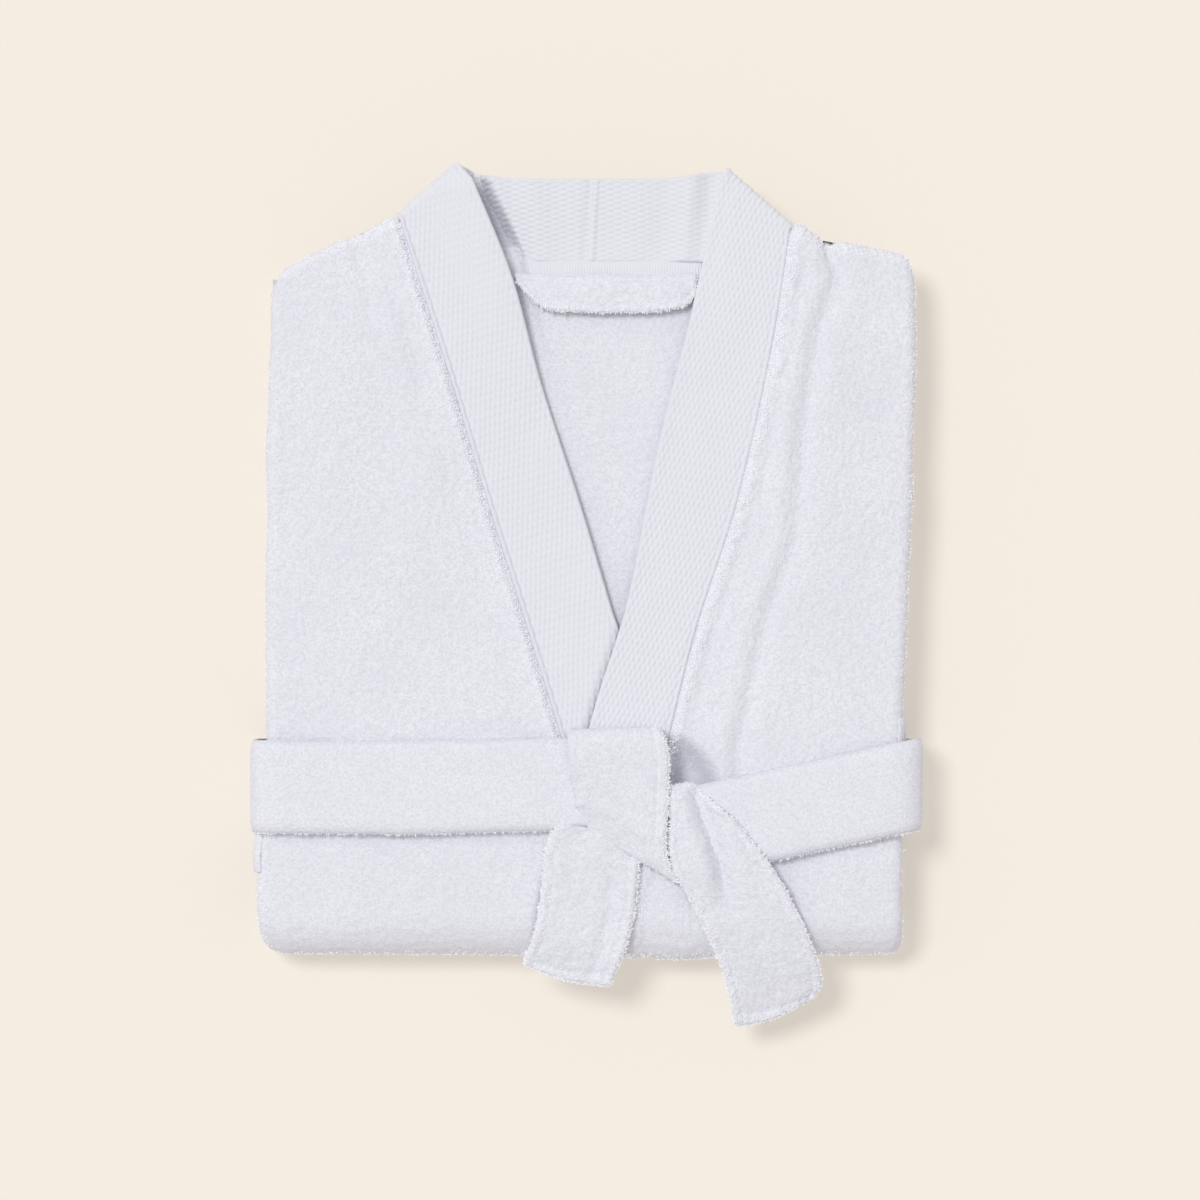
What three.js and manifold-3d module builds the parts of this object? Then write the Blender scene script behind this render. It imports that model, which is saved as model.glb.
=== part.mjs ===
// A white terry bathrobe, folded flat into a stack with its belt tied round it.
// Millimetres, +Z up. The origin is on the floor under the middle of the footprint, +Y points to the collar
// and +X to the right of someone who looks down at the front. Left and right are meant that way throughout.
import * as THREE from "three";
import { mergeVertices } from "three/addons/utils/BufferGeometryUtils.js";
import Module from "manifold-3d";

const wasm = await Module();
wasm.setup();

// ---- driving dimensions ----
const BODY_WIDTH = 362; // over the two side folds
const SKIRT_WIDTH = 356; // of the parts of the skirt that are folded under
const BOTTOM_FOLD_Y = -203; // outermost point of the bottom fold
const TOP_TURN_Y = 176; // outermost point of the turn at the upper end, on the underside
const HEM_Y = -160; // hems, inside the stack
const PLY = 3; // one ply of terry with its pile
const GAP = 0.3; // between pieces that touch
const BAND_WIDTH_AT_WAIST = 49; // honeycomb band along the front edges
const OVERLAP_X = -27; // edge of the right front on the underside
const LEFT_EDGE_X = 65; // edge of the left front on the underside, inside the overlap
const BELT_WIDTH = 52;
const BELT_PLY = 4.2; // belt, sewn double
const BELT_SLACK = 0.5; // between the belt's side runs and the belt loops
const BELT_CORNER = 4.8; // inside radius of the belt's upper corners
const BELT_LOWER_CORNER = 3; // and of its lower ones
const BELT_END_GAP = 4;
const BELT_TOP_Y = -80.5; // upper edge of the belt's left run
const BELT_SLANT = 20; // how far the right run drops towards the knot
const SHOULDER_Y = 213; // where the shoulder meets the left collar seam
const SHOULDER_DROP = 5; // how much lower the right shoulder meets its seam
const ARMHOLE_Y = 172; // where a side edge turns in to the shoulder
const SHOULDER_END_Y = [186, 187]; // outer ends of the left and right shoulder
const SHOULDER_END_INSET = [9, 7];
const NECK_SEAM_Y = 187; // back neck seam
const BACK_BAND_HEIGHT = 46.5; // honeycomb band behind the neck
const COLLAR_TIP_Y = 243; // top of the folded collar
const LEFT_SEAM_XY = [-105.6, 211]; // the collar folds over along the line from here
const LEFT_TIP_XY = [-72.5, COLLAR_TIP_Y]; // to here
const RIGHT_SEAM_XY = [115.9, 207];
const RIGHT_TIP_XY = [78.7, 240];
const TAPE_FROM_X = -58;
const TAPE_TO_X = 74;
const SLEEVE_WIDTH = 167; // one flat sleeve
const SLEEVE_FOLD_Y = -171; // where a sleeve is folded back on itself
const SLEEVE_END_Y = 10;
const SLEEVE_IN_X = 3; // from the middle to a sleeve
const SLEEVE_HEAD_INSET = 10; // from the top turn down to the sleeve's head
const CUFF_DEPTH = 75;
const CUFF_EASE = 1; // how much further a cuff reaches to each side
const POCKET_WIDTH = 130;
const POCKET_HEIGHT = 160;
const POCKET_LOW_Y = -55;
const POCKET_CENTRE_X = 102;
const POCKET_CORNER = 12;
const TAPE_HEIGHT = 11;
const TAPE_PLY = 1;
const LOOP_LENGTH = 80.5; // hanger loop, along X
const LOOP_HEIGHT = 14;
const LOOP_PLY = 2.4;
const LOOP_CENTRE_X = 17.25;
const LOOP_STAND_OFF = 4.4; // room for a hook behind the loop
const LOOP_LEG = 9;
const BELT_LOOP_LENGTH = 72;
const BELT_LOOP_WIDTH = 9;
const BELT_LOOP_PLY = 2;
const LEFT_BELT_LOOP_TOP_Y = -83; // it shows below the belt
const RIGHT_BELT_LOOP_TOP_Y = -72; // it shows above the belt
const LEFT_HINGE_XY = [4, -144.8]; // where the left tail leaves the knot
const RIGHT_HINGE_XY = [61, -106];
const LEFT_TURN = -8.5; // degrees from straight down the front
const RIGHT_TURN = 15.66;
const KNOT_WIDTH = 56; // the strip that wraps the knot
const KNOT_TOP_Y = -75;
const KNOT_RIGHT_X = 45;
const CORE_HALF = 20; // half the crossing's extent along Y

// ---- worked out from them ----
const HALF_BODY = BODY_WIDTH / 2;
const HALF_SKIRT = SKIRT_WIDTH / 2;
const PITCH = PLY + GAP;
const UNDER_RISE = BELT_PLY + GAP; // the belt and the pockets lie under the skirt
const TURN_DEPTH = 3 * PITCH - GAP / 2; // from the outer face to the middle of the top turn
const THIRD_TOP = UNDER_RISE + 2 * TURN_DEPTH;
const SLEEVE_PLY = 2 * PLY + GAP;
const SLEEVE_LOW = THIRD_TOP + GAP;
const SLEEVE_TOP = SLEEVE_LOW + 2 * SLEEVE_PLY + GAP;
const FLAP_LOW = SLEEVE_TOP + GAP;
const STACK = FLAP_LOW + 4 * PITCH - GAP; // thickness of the whole folded robe
const FOLD_RADIUS = STACK / 2;
const FOLD_Y = BOTTOM_FOLD_Y + FOLD_RADIUS; // centre of the bottom fold
const TURN_Y = TOP_TURN_Y - TURN_DEPTH; // centre of the top turn
const RISE_LENGTH = 10; // over which the underside rises off the floor
const RISE_END_Y = BELT_TOP_Y - BELT_WIDTH - RISE_LENGTH;
const FAR = 400; // beyond every piece
const BACK_TOP = STACK - 2 * PITCH; // upper face of the back panel
const BELT_LOW = STACK + GAP;
const ARC_STEPS = 10;
const EDGE_STEPS = 14;

const TERRY = new THREE.MeshStandardMaterial({ color: "#f2f3f6", roughness: 0.95, metalness: 0 });
const PIQUE = new THREE.MeshStandardMaterial({ color: "#eff1f5", roughness: 0.85, metalness: 0 });
const TAPE = new THREE.MeshStandardMaterial({ color: "#f5f5f7", roughness: 0.8, metalness: 0 });

const robe = new THREE.Group();

// ---- small geometry kit ----
const vec = (x, y) => new THREE.Vector2(x, y);

function arc(centreX, centreY, radius, fromDegrees, toDegrees, steps = ARC_STEPS) {
  const points = [];
  for (let i = 0; i <= steps; i++) {
    const angle = THREE.MathUtils.degToRad(fromDegrees + ((toDegrees - fromDegrees) * i) / steps);
    points.push(vec(centreX + radius * Math.cos(angle), centreY + radius * Math.sin(angle)));
  }
  return points;
}

function smooth(points, steps = EDGE_STEPS) {
  return new THREE.SplineCurve(points.map(([x, y]) => vec(x, y))).getPoints(steps);
}

function solid(geometry) {
  const plain = geometry.clone();
  plain.deleteAttribute("normal");
  plain.deleteAttribute("uv");
  const merged = mergeVertices(plain, 1e-4);
  return new wasm.Manifold(
    new wasm.Mesh({
      numProp: 3,
      vertProperties: new Float32Array(merged.attributes.position.array),
      triVerts: new Uint32Array(merged.index.array),
    }),
  );
}

function geometryOf(body) {
  const mesh = body.getMesh();
  const geometry = new THREE.BufferGeometry();
  geometry.setAttribute("position", new THREE.BufferAttribute(mesh.vertProperties, 3));
  geometry.setIndex(new THREE.BufferAttribute(mesh.triVerts, 1));
  geometry.computeVertexNormals();
  return geometry;
}

function union(bodies) {
  return bodies.reduce((whole, body) => whole.add(body));
}

// A plan outline (x, y) raised from one height to another.
function prism(outline, low, high) {
  const geometry = new THREE.ExtrudeGeometry(new THREE.Shape(outline), {
    depth: high - low,
    bevelEnabled: false,
  });
  return solid(geometry.translate(0, 0, low));
}

// A side outline (y, z) drawn out along X.
function alongX(outline, fromX, toX) {
  const geometry = new THREE.ExtrudeGeometry(new THREE.Shape(outline), {
    depth: toX - fromX,
    bevelEnabled: false,
  });
  const turn = new THREE.Matrix4().makeBasis(
    new THREE.Vector3(0, 1, 0),
    new THREE.Vector3(0, 0, 1),
    new THREE.Vector3(1, 0, 0),
  );
  return solid(geometry.applyMatrix4(turn).translate(fromX, 0, 0));
}

// An end outline (x, z) drawn out along Y.
function alongY(outline, fromY, toY) {
  const geometry = new THREE.ExtrudeGeometry(new THREE.Shape(outline), {
    depth: toY - fromY,
    bevelEnabled: false,
  });
  return solid(geometry.rotateX(Math.PI / 2).translate(0, toY, 0));
}

function box(fromX, toX, fromY, toY, low, high) {
  return prism([vec(fromX, fromY), vec(toX, fromY), vec(toX, toY), vec(fromX, toY)], low, high);
}

function piece(name, body, material, parent = robe) {
  const mesh = new THREE.Mesh(geometryOf(body), material);
  mesh.name = name;
  parent.add(mesh);
}

// ---- edges of the front, seen from above ----
// Each runs from the collar down to the bottom fold. On the underside it goes straight on at its last X.
const LEFT_SEAM_X = LEFT_EDGE_X - BAND_WIDTH_AT_WAIST;
const RIGHT_SEAM_X = OVERLAP_X + BAND_WIDTH_AT_WAIST;
const RIGHT_INNER = smooth([[76, 239], [60, 165], [40, 84], [22, -5], [4, -64], [OVERLAP_X, FOLD_Y]]);
const RIGHT_OUTER = smooth([[116, 207], [103, 136], [84, 52], [61, -20], [40, -105], [RIGHT_SEAM_X, FOLD_Y]]);
const LEFT_INNER = smooth([[-66, 239], [-42, 180], [-25, 118], [-3, 50], [24, -40], [LEFT_EDGE_X, FOLD_Y]]);
const LEFT_OUTER = smooth([[-106, 210], [-76, 121], [-55, 51], [-30, -28], [LEFT_SEAM_X, FOLD_Y]]);

function shifted(edge, dx) {
  return edge.map((p) => vec(p.x + dx, p.y));
}

// The plan left of an edge, or right of it, as a region above and one below mid height.
function sideOf(edge, bottomX, dx, farX) {
  const line = shifted(edge, dx);
  const top = line[0];
  const above = [vec(farX, FAR), vec(top.x, FAR), ...line, vec(bottomX + dx, -FAR), vec(farX, -FAR)];
  const below = [
    vec(farX, FAR),
    vec(bottomX + dx, FAR),
    vec(bottomX + dx, -FAR),
    vec(farX, -FAR),
  ];
  return prism(above, FOLD_RADIUS, FAR).add(prism(below, -FAR, FOLD_RADIUS + GAP / 10));
}

const leftOf = (edge, bottomX, dx = 0) => sideOf(edge, bottomX, dx, -FAR);
const rightOf = (edge, bottomX, dx = 0) => sideOf(edge, bottomX, dx, FAR);

// ---- the folded sheets of the body ----
// One face of a sheet, followed from the shoulder over the front, round the bottom fold, up the underside,
// round the top turn and down to the hem. depth is measured inwards from the outermost face.
function faceLine(depth) {
  const turnZ = UNDER_RISE + TURN_DEPTH;
  return [
    vec(FAR, STACK - depth),
    ...arc(FOLD_Y, FOLD_RADIUS, FOLD_RADIUS - depth, 90, 270, 2 * ARC_STEPS),
    vec(RISE_END_Y, depth),
    vec(RISE_END_Y + RISE_LENGTH, UNDER_RISE + depth),
    ...arc(TURN_Y, turnZ, TURN_DEPTH - depth, -90, 90),
    vec(HEM_Y, THIRD_TOP - depth),
  ];
}

function sheet(outerDepth, innerDepth, fromX, toX) {
  const outline = [...faceLine(outerDepth), ...faceLine(innerDepth).reverse()];
  return alongX(outline, fromX, toX);
}

// The part of the plan that a sheet may fill: the shoulders above, the skirt's width below.
function shoulders(inset) {
  const half = HALF_BODY - inset;
  const wide = RISE_END_Y - RISE_LENGTH;
  const above = [
    vec(-half, wide),
    vec(-HALF_BODY, wide),
    vec(-HALF_BODY, -FAR),
    vec(HALF_BODY, -FAR),
    vec(HALF_BODY, wide),
    vec(half, wide),
    vec(half, ARMHOLE_Y),
    vec(half - SHOULDER_END_INSET[1], SHOULDER_END_Y[1]),
    vec(RIGHT_OUTER[0].x, SHOULDER_Y - SHOULDER_DROP),
    vec(RIGHT_OUTER[0].x, COLLAR_TIP_Y),
    vec(LEFT_OUTER[0].x, COLLAR_TIP_Y),
    vec(LEFT_OUTER[0].x, SHOULDER_Y),
    vec(SHOULDER_END_INSET[0] - half, SHOULDER_END_Y[0]),
    vec(-half, ARMHOLE_Y),
  ];
  const below = [
    vec(-HALF_SKIRT, -FAR),
    vec(HALF_SKIRT, -FAR),
    vec(HALF_SKIRT, FAR),
    vec(-HALF_SKIRT, FAR),
  ];
  return prism(above, FOLD_RADIUS, FAR).add(prism(below, -FAR, FOLD_RADIUS + GAP / 10));
}

const SIDE_RADIUS = (STACK - FLAP_LOW) / 2;
const FLAP_WIDTH = 115; // of a front that is folded behind the back panel
const SIDE_LAP = 12; // of the side fold's outline into the flat part of the front
const STEP = 4; // width of the step where a sheet goes under the right front

// A sheet on the left that lies outermost up to the right front's edge and goes one ply in beyond it.
function stepped(fromX, toX) {
  const outer = sheet(0, PLY, fromX, toX).intersect(leftOf(RIGHT_INNER, OVERLAP_X, -GAP));
  const riser = sheet(0, PITCH + PLY, fromX, toX)
    .intersect(leftOf(RIGHT_INNER, OVERLAP_X, -GAP))
    .intersect(rightOf(RIGHT_INNER, OVERLAP_X, -GAP - STEP));
  const inner = sheet(PITCH, PITCH + PLY, fromX, toX).intersect(rightOf(RIGHT_INNER, OVERLAP_X, -STEP));
  return union([outer, riser, inner]);
}

// The side of a front, folded behind the back panel.
function sideFold(side) {
  const centreX = HALF_BODY - SIDE_RADIUS;
  const centreZ = FLAP_LOW + SIDE_RADIUS;
  const flapX = HALF_BODY - FLAP_WIDTH;
  const inward = centreX - SIDE_LAP;
  const outline = [
    vec(inward, STACK),
    ...arc(centreX, centreZ, SIDE_RADIUS, 90, -90),
    vec(flapX, FLAP_LOW),
    vec(flapX, FLAP_LOW + PLY),
    ...arc(centreX, centreZ, SIDE_RADIUS - PLY, -90, 90),
    vec(inward, STACK - PLY),
  ];
  const placed = outline.map((p) => vec(side * p.x, p.y));
  return alongY(side > 0 ? placed : placed.reverse(), RISE_END_Y - RISE_LENGTH, ARMHOLE_Y);
}

function leftFront() {
  const cloth = stepped(-FAR, FAR)
    .intersect(leftOf(LEFT_OUTER, LEFT_SEAM_X, -GAP / 2))
    .intersect(shoulders(SIDE_RADIUS));
  piece("left_front_panel", cloth.add(sideFold(-1)), TERRY);
}

function rightFront() {
  const cloth = sheet(0, PLY, -FAR, FAR)
    .intersect(rightOf(RIGHT_OUTER, RIGHT_SEAM_X, GAP / 2))
    .intersect(shoulders(SIDE_RADIUS));
  piece("right_front_panel", cloth.add(sideFold(1)), TERRY);
}

function backPanel() {
  const neck = box(-FAR, FAR, NECK_SEAM_Y, FAR, FOLD_RADIUS, FAR);
  const cloth = sheet(2 * PITCH, 2 * PITCH + PLY, -FAR, FAR)
    .intersect(shoulders(SIDE_RADIUS + PLY / 2))
    .subtract(neck);
  piece("back_panel", cloth, TERRY);
}

// ---- the honeycomb band ----
// Each half runs from the centre of the back of the neck to a collar tip, and down a front edge to the hem.
const BACK_SEAM_X = 2.5;
const BACK_BAND_TOP = NECK_SEAM_Y + GAP + BACK_BAND_HEIGHT;
const TIP_TAPER = 12; // over which the band behind the neck rises to a collar tip
const SEAM_TAPER = 14; // over which it falls from the collar seam to the neck seam
const TIP_DEPTH = 60; // of the flat part at a collar tip
const TIP_LAP = 3;

function collarTip(side, seam, inner, tip) {
  const outline = [
    vec(seam.x, seam.y),
    vec(tip.x, tip.y),
    vec(inner.x, inner.y),
    vec(inner.x, inner.y - TIP_DEPTH),
  ];
  const ordered = side < 0 ? outline.reverse() : outline;
  const front = prism(ordered, STACK - PLY, STACK);
  const foldLine = tip.clone().sub(seam).normalize();
  const inwards = vec(-foldLine.y, foldLine.x).multiplyScalar(side * PLY);
  const wallOutline = [seam, tip, tip.clone().add(inwards), seam.clone().add(inwards)];
  const wall = prism(side < 0 ? wallOutline.reverse() : wallOutline, BACK_TOP - PLY, STACK);
  return { front, wall };
}

function backBand(side, seam, tip) {
  const outline = [
    vec(BACK_SEAM_X + side * (GAP / 2), NECK_SEAM_Y + GAP),
    vec(BACK_SEAM_X + side * (GAP / 2), BACK_BAND_TOP),
    vec(tip.x - side * TIP_TAPER, BACK_BAND_TOP),
    tip,
    seam,
    vec(seam.x - side * SEAM_TAPER, NECK_SEAM_Y + GAP),
  ];
  return prism(side < 0 ? outline : outline.reverse(), BACK_TOP - PLY, BACK_TOP);
}

// cloth is the sheet that the front part is cut from, and plan where it lies.
function band(name, side, seamXY, tipXY, inner, cloth, plan) {
  const seam = vec(...seamXY);
  const tip = vec(...tipXY);
  const run = cloth.intersect(plan).subtract(box(-FAR, FAR, seam.y - TIP_LAP, FAR, FOLD_RADIUS, FAR));
  const { front, wall } = collarTip(side, seam, inner[0], tip);
  piece(name, union([run, front.intersect(plan), wall, backBand(side, seam, tip)]), PIQUE);
}

function bands() {
  const leftPlan = rightOf(LEFT_OUTER, LEFT_SEAM_X, GAP / 2).intersect(leftOf(LEFT_INNER, LEFT_EDGE_X));
  const rightPlan = leftOf(RIGHT_OUTER, RIGHT_SEAM_X, -GAP / 2).intersect(rightOf(RIGHT_INNER, OVERLAP_X));
  band("left_collar_band", -1, LEFT_SEAM_XY, LEFT_TIP_XY, LEFT_INNER, stepped(-FAR, FAR), leftPlan);
  band("right_collar_band", 1, RIGHT_SEAM_XY, RIGHT_TIP_XY, RIGHT_INNER, sheet(0, PLY, -FAR, FAR), rightPlan);
}

function neckTape() {
  const low = BACK_TOP + GAP;
  const lowY = NECK_SEAM_Y + GAP - TAPE_HEIGHT;
  piece("neck_tape", box(TAPE_FROM_X, TAPE_TO_X, lowY, lowY + TAPE_HEIGHT, low, low + TAPE_PLY), TAPE);
}

// ---- sleeves, folded behind the back panel and then back on themselves ----
function sleeve(name, cuffName, side) {
  const radius = (SLEEVE_TOP - SLEEVE_LOW) / 2;
  const foldCentre = SLEEVE_FOLD_Y + radius;
  const upperEnd = TOP_TURN_Y - SLEEVE_HEAD_INSET;
  const outline = [
    vec(upperEnd, SLEEVE_TOP),
    ...arc(foldCentre, SLEEVE_LOW + radius, radius, 90, 270),
    vec(SLEEVE_END_Y, SLEEVE_LOW),
    vec(SLEEVE_END_Y, SLEEVE_LOW + SLEEVE_PLY),
    vec(foldCentre, SLEEVE_LOW + SLEEVE_PLY),
    vec(foldCentre, SLEEVE_LOW + SLEEVE_PLY + GAP),
    vec(upperEnd, SLEEVE_LOW + SLEEVE_PLY + GAP),
  ];
  const ends = [side * SLEEVE_IN_X, side * (SLEEVE_IN_X + SLEEVE_WIDTH)].sort((a, b) => a - b);
  piece(name, alongX(outline, ends[0], ends[1]), TERRY);
  const lowY = SLEEVE_END_Y + GAP;
  const high = SLEEVE_LOW + SLEEVE_PLY;
  const cuff = box(ends[0] - CUFF_EASE, ends[1] + CUFF_EASE, lowY, lowY + CUFF_DEPTH, SLEEVE_LOW, high);
  piece(cuffName, cuff, TERRY);
}

// ---- patch pockets, on the skirt's underside ----
function pocket(name, side) {
  const half = POCKET_WIDTH / 2;
  const centre = side * POCKET_CENTRE_X;
  const corner = POCKET_CORNER;
  const top = POCKET_LOW_Y + POCKET_HEIGHT;
  const outline = [
    ...arc(centre + half - corner, POCKET_LOW_Y + corner, corner, -90, 0, 5),
    vec(centre + half, top),
    vec(centre - half, top),
    ...arc(centre - half + corner, POCKET_LOW_Y + corner, corner, 180, 270, 5),
  ];
  piece(name, prism(outline, 0, BELT_PLY), TERRY);
}

// ---- hanger loop: it swings up on its two sewn ends ----
const LOOP_END_RADIUS = 1.4;
const LOOP_HINGE_Y = NECK_SEAM_Y + GAP - TAPE_HEIGHT - LOOP_END_RADIUS - 0.5;
const LOOP_HINGE_Z = BACK_TOP + GAP + LOOP_END_RADIUS;

function hangerLoop() {
  const low = BACK_TOP + LOOP_STAND_OFF - LOOP_HINGE_Z;
  const high = low + LOOP_PLY;
  const half = LOOP_LENGTH / 2;
  const upper = -1.2; // the strip's upper edge, from the hinge
  const sag = 1.8;
  const corner = 3;
  const lower = upper - LOOP_HEIGHT + 2;
  const plan = [
    vec(corner - half, upper),
    vec(-half, upper - corner),
    vec(-half, lower + corner),
    ...smooth([[corner - half, lower], [0, upper - LOOP_HEIGHT - sag], [half - corner, lower]]),
    vec(half, lower + corner),
    vec(half, upper - corner),
    vec(half - corner, upper),
  ];
  const leg = [
    ...arc(0, 0, LOOP_END_RADIUS, 30, -140, 6),
    vec(upper - corner + 0.2, low + LOOP_PLY / 2),
    vec(upper - corner + 0.2, high),
    vec(upper, high),
    vec(upper + 0.4, low),
  ];
  const legOutline = leg.reverse();
  const legs = [0.5 - half, half - LOOP_LEG - 0.5].map((x) => alongX(legOutline, x, x + LOOP_LEG));
  const holder = new THREE.Group();
  holder.position.set(LOOP_CENTRE_X, LOOP_HINGE_Y, LOOP_HINGE_Z);
  robe.add(holder);
  piece("hanger_loop", union([prism(plan.reverse(), low, high), ...legs]), TERRY, holder);
}

// ---- belt loops, in the side folds behind the belt ----
function beltLoop(name, side, topY) {
  const inX = HALF_BODY + GAP;
  const [fromX, toX] = [side * inX, side * (inX + BELT_LOOP_PLY)].sort((a, b) => a - b);
  const lowY = topY - BELT_LOOP_LENGTH;
  piece(name, box(fromX, toX, lowY, topY, FLAP_LOW, FLAP_LOW + BELT_LOOP_WIDTH), TERRY);
}

// ---- belt ----
function beltWrap() {
  const inX = HALF_BODY + GAP + BELT_LOOP_PLY + BELT_SLACK;
  const outX = inX + BELT_PLY;
  const topOut = BELT_LOW + BELT_PLY;
  const upper = BELT_CORNER + BELT_PLY;
  const lower = BELT_PLY + BELT_LOWER_CORNER;
  const leftEndX = KNOT_RIGHT_X - BELT_END_GAP / 2; // the two ends nearly meet inside the knot
  const rightEndX = KNOT_RIGHT_X + BELT_END_GAP / 2;
  const outline = [
    vec(leftEndX, topOut),
    ...arc(upper - outX, topOut - upper, upper, 90, 180, 6),
    ...arc(lower - outX, lower, lower, 180, 270, 6),
    ...arc(outX - lower, lower, lower, 270, 360, 6),
    ...arc(outX - upper, topOut - upper, upper, 0, 90, 6),
    vec(rightEndX, topOut),
    vec(rightEndX, BELT_LOW),
    ...arc(outX - upper, topOut - upper, upper - BELT_PLY, 90, 0, 6),
    ...arc(outX - lower, lower, lower - BELT_PLY, 0, -90, 6),
    ...arc(lower - outX, lower, lower - BELT_PLY, -90, -180, 6),
    ...arc(upper - outX, topOut - upper, upper - BELT_PLY, 180, 90, 6),
    vec(leftEndX, BELT_LOW),
  ];
  const straight = geometryOf(alongY(outline, BELT_TOP_Y - BELT_WIDTH, BELT_TOP_Y));
  const position = straight.attributes.position;
  const slopeEnd = inX - upper;
  for (let i = 0; i < position.count; i++) {
    const x = position.getX(i);
    const onRightRun = position.getZ(i) > BELT_LOW - upper && x >= rightEndX;
    const share = onRightRun ? THREE.MathUtils.clamp((slopeEnd - x) / (slopeEnd - rightEndX), 0, 1) : 0;
    position.setY(i, position.getY(i) - BELT_SLANT * share);
  }
  piece("belt_wrap", solid(straight), TERRY);
}

const CORE_LOW = BELT_LOW + BELT_PLY + GAP;

function knot() {
  const left = KNOT_RIGHT_X - KNOT_WIDTH;
  const middleY = BELT_TOP_Y - BELT_WIDTH / 2;
  const round = 2;
  const lowY = middleY - CORE_HALF + round;
  const highY = middleY + CORE_HALF - round;
  const core = [
    ...arc(lowY, CORE_LOW + round, round, 180, 270, 3),
    ...arc(highY, CORE_LOW + round, round, 270, 360, 3),
    ...arc(highY, CORE_LOW + BELT_PLY - round, round, 0, 90, 3),
    ...arc(lowY, CORE_LOW + BELT_PLY - round, round, 90, 180, 3),
  ];
  piece("belt_knot_core", alongX(core, left + 2, KNOT_RIGHT_X + 4), TERRY);
  const over = CORE_LOW + BELT_PLY + GAP;
  const bend = BELT_CORNER + BELT_PLY;
  const lowEnd = -150; // below the plan that cuts it
  const wrap = [
    ...arc(KNOT_TOP_Y - bend, over + BELT_PLY - bend, bend, 0, 90, 6),
    vec(middleY, over + BELT_PLY),
    vec(lowEnd, over + 1),
    vec(lowEnd, over + 1 - BELT_PLY),
    vec(middleY - CORE_HALF, over),
    ...arc(KNOT_TOP_Y - bend, over - BELT_CORNER, BELT_CORNER, 90, 0, 6),
    vec(KNOT_TOP_Y - BELT_PLY, BELT_LOW),
    vec(KNOT_TOP_Y, BELT_LOW),
  ];
  // The lower edge runs down to the right, and the top of the plan lies above the knot.
  const plan = [
    vec(left + 4, -FAR / 10),
    vec(left, -116),
    vec(12, -136),
    vec(30, -143.5),
    vec(KNOT_RIGHT_X + 1.5, -144),
    vec(KNOT_RIGHT_X, -FAR / 10),
  ];
  piece("belt_knot_wrap", alongX(wrap, left - 5, KNOT_RIGHT_X + 5).intersect(prism(plan, 0, FAR)), TERRY);
}

// A tail of the belt, drawn in its own frame: it leaves the hinge line at the origin towards -Y,
// lies on what is under it and droops past the bottom fold. rest holds the underside's height by distance.
function tail(name, hinge, turnDegrees, plan, rest) {
  const radius = BELT_PLY / 2; // of the rolled end at the hinge
  const wide = KNOT_WIDTH + GAP; // wider than half of any tail
  const under = smooth(rest.map(([distance, height]) => [-distance, height - radius]));
  const upper = under.map((p) => vec(p.x, p.y + BELT_PLY));
  const side = [...arc(0, 0, radius, -90, 90, 6), ...upper.slice(1), ...under.slice(1).reverse()];
  const outline = smooth(plan, 2 * EDGE_STEPS);
  const strip = alongX(side, -wide, wide).intersect(prism(outline, -FAR, FAR));
  const holder = new THREE.Group();
  holder.position.set(...hinge);
  holder.rotation.z = THREE.MathUtils.degToRad(turnDegrees);
  robe.add(holder);
  piece(name, strip, TERRY, holder);
}

const LEFT_HINGE = [...LEFT_HINGE_XY, BELT_LOW + BELT_PLY / 2];
const RIGHT_HINGE = [...RIGHT_HINGE_XY, CORE_LOW + BELT_PLY / 2];

// How far along a tail a line across the stack lies.
function reach(hinge, turnDegrees, lineY) {
  return (hinge[1] - lineY) / Math.cos(THREE.MathUtils.degToRad(turnDegrees));
}

leftFront();
rightFront();
backPanel();
bands();
neckTape();
sleeve("left_sleeve", "left_cuff", -1);
sleeve("right_sleeve", "right_cuff", 1);
pocket("left_pocket", -1);
pocket("right_pocket", 1);
hangerLoop();
beltLoop("left_belt_loop", -1, LEFT_BELT_LOOP_TOP_Y);
beltLoop("right_belt_loop", 1, RIGHT_BELT_LOOP_TOP_Y);
beltWrap();
knot();
const leftLedge = reach(LEFT_HINGE, LEFT_TURN, FOLD_Y);
const rightLedge = reach(RIGHT_HINGE, RIGHT_TURN, FOLD_Y);
const beltEnd = reach(RIGHT_HINGE, RIGHT_TURN, BELT_TOP_Y - BELT_WIDTH - BELT_SLANT);
tail(
  "left_tail",
  LEFT_HINGE,
  LEFT_TURN,
  // outline, from the rolled end out and back
  [[-26, 2.2], [-27, -30], [-32, -64], [-24, -72], [19, -75.4], [27, -64], [27, -30], [26, 2.2]],
  [[0, 0], [leftLedge - 3, 0], [leftLedge + 12, -0.5], [leftLedge + 27, -4], [leftLedge + 45, -11]],
);
tail(
  "right_tail",
  RIGHT_HINGE,
  RIGHT_TURN,
  [
    [-6, 2.2],
    [-14, -16],
    [-23, -42],
    [-20, -64],
    [-12.8, -127],
    [-11, -139],
    [13, -140],
    [39, -131],
    [38, -112],
    [30, -58],
    [8.5, -11],
    [4, 2.2],
  ],
  [
    [0, 0],
    [30, 0],
    [beltEnd + 2, 0],
    [beltEnd + 14, 1 - BELT_PLY],
    [beltEnd + 28, -BELT_PLY],
    [rightLedge + 15, -BELT_PLY],
    [rightLedge + 35, -12],
    [rightLedge + 70, -28],
  ],
);

export default robe;
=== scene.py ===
"""A white terry bathrobe, folded flat into a stack and tied with its own belt.

Every piece of cloth is drawn in flat cloth coordinates, in millimetres, and then laid where the folding puts it.
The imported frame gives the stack's height, its folds and its edges. Left and right are those of someone who looks
down at the front, with the collar away from them.
"""

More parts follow.
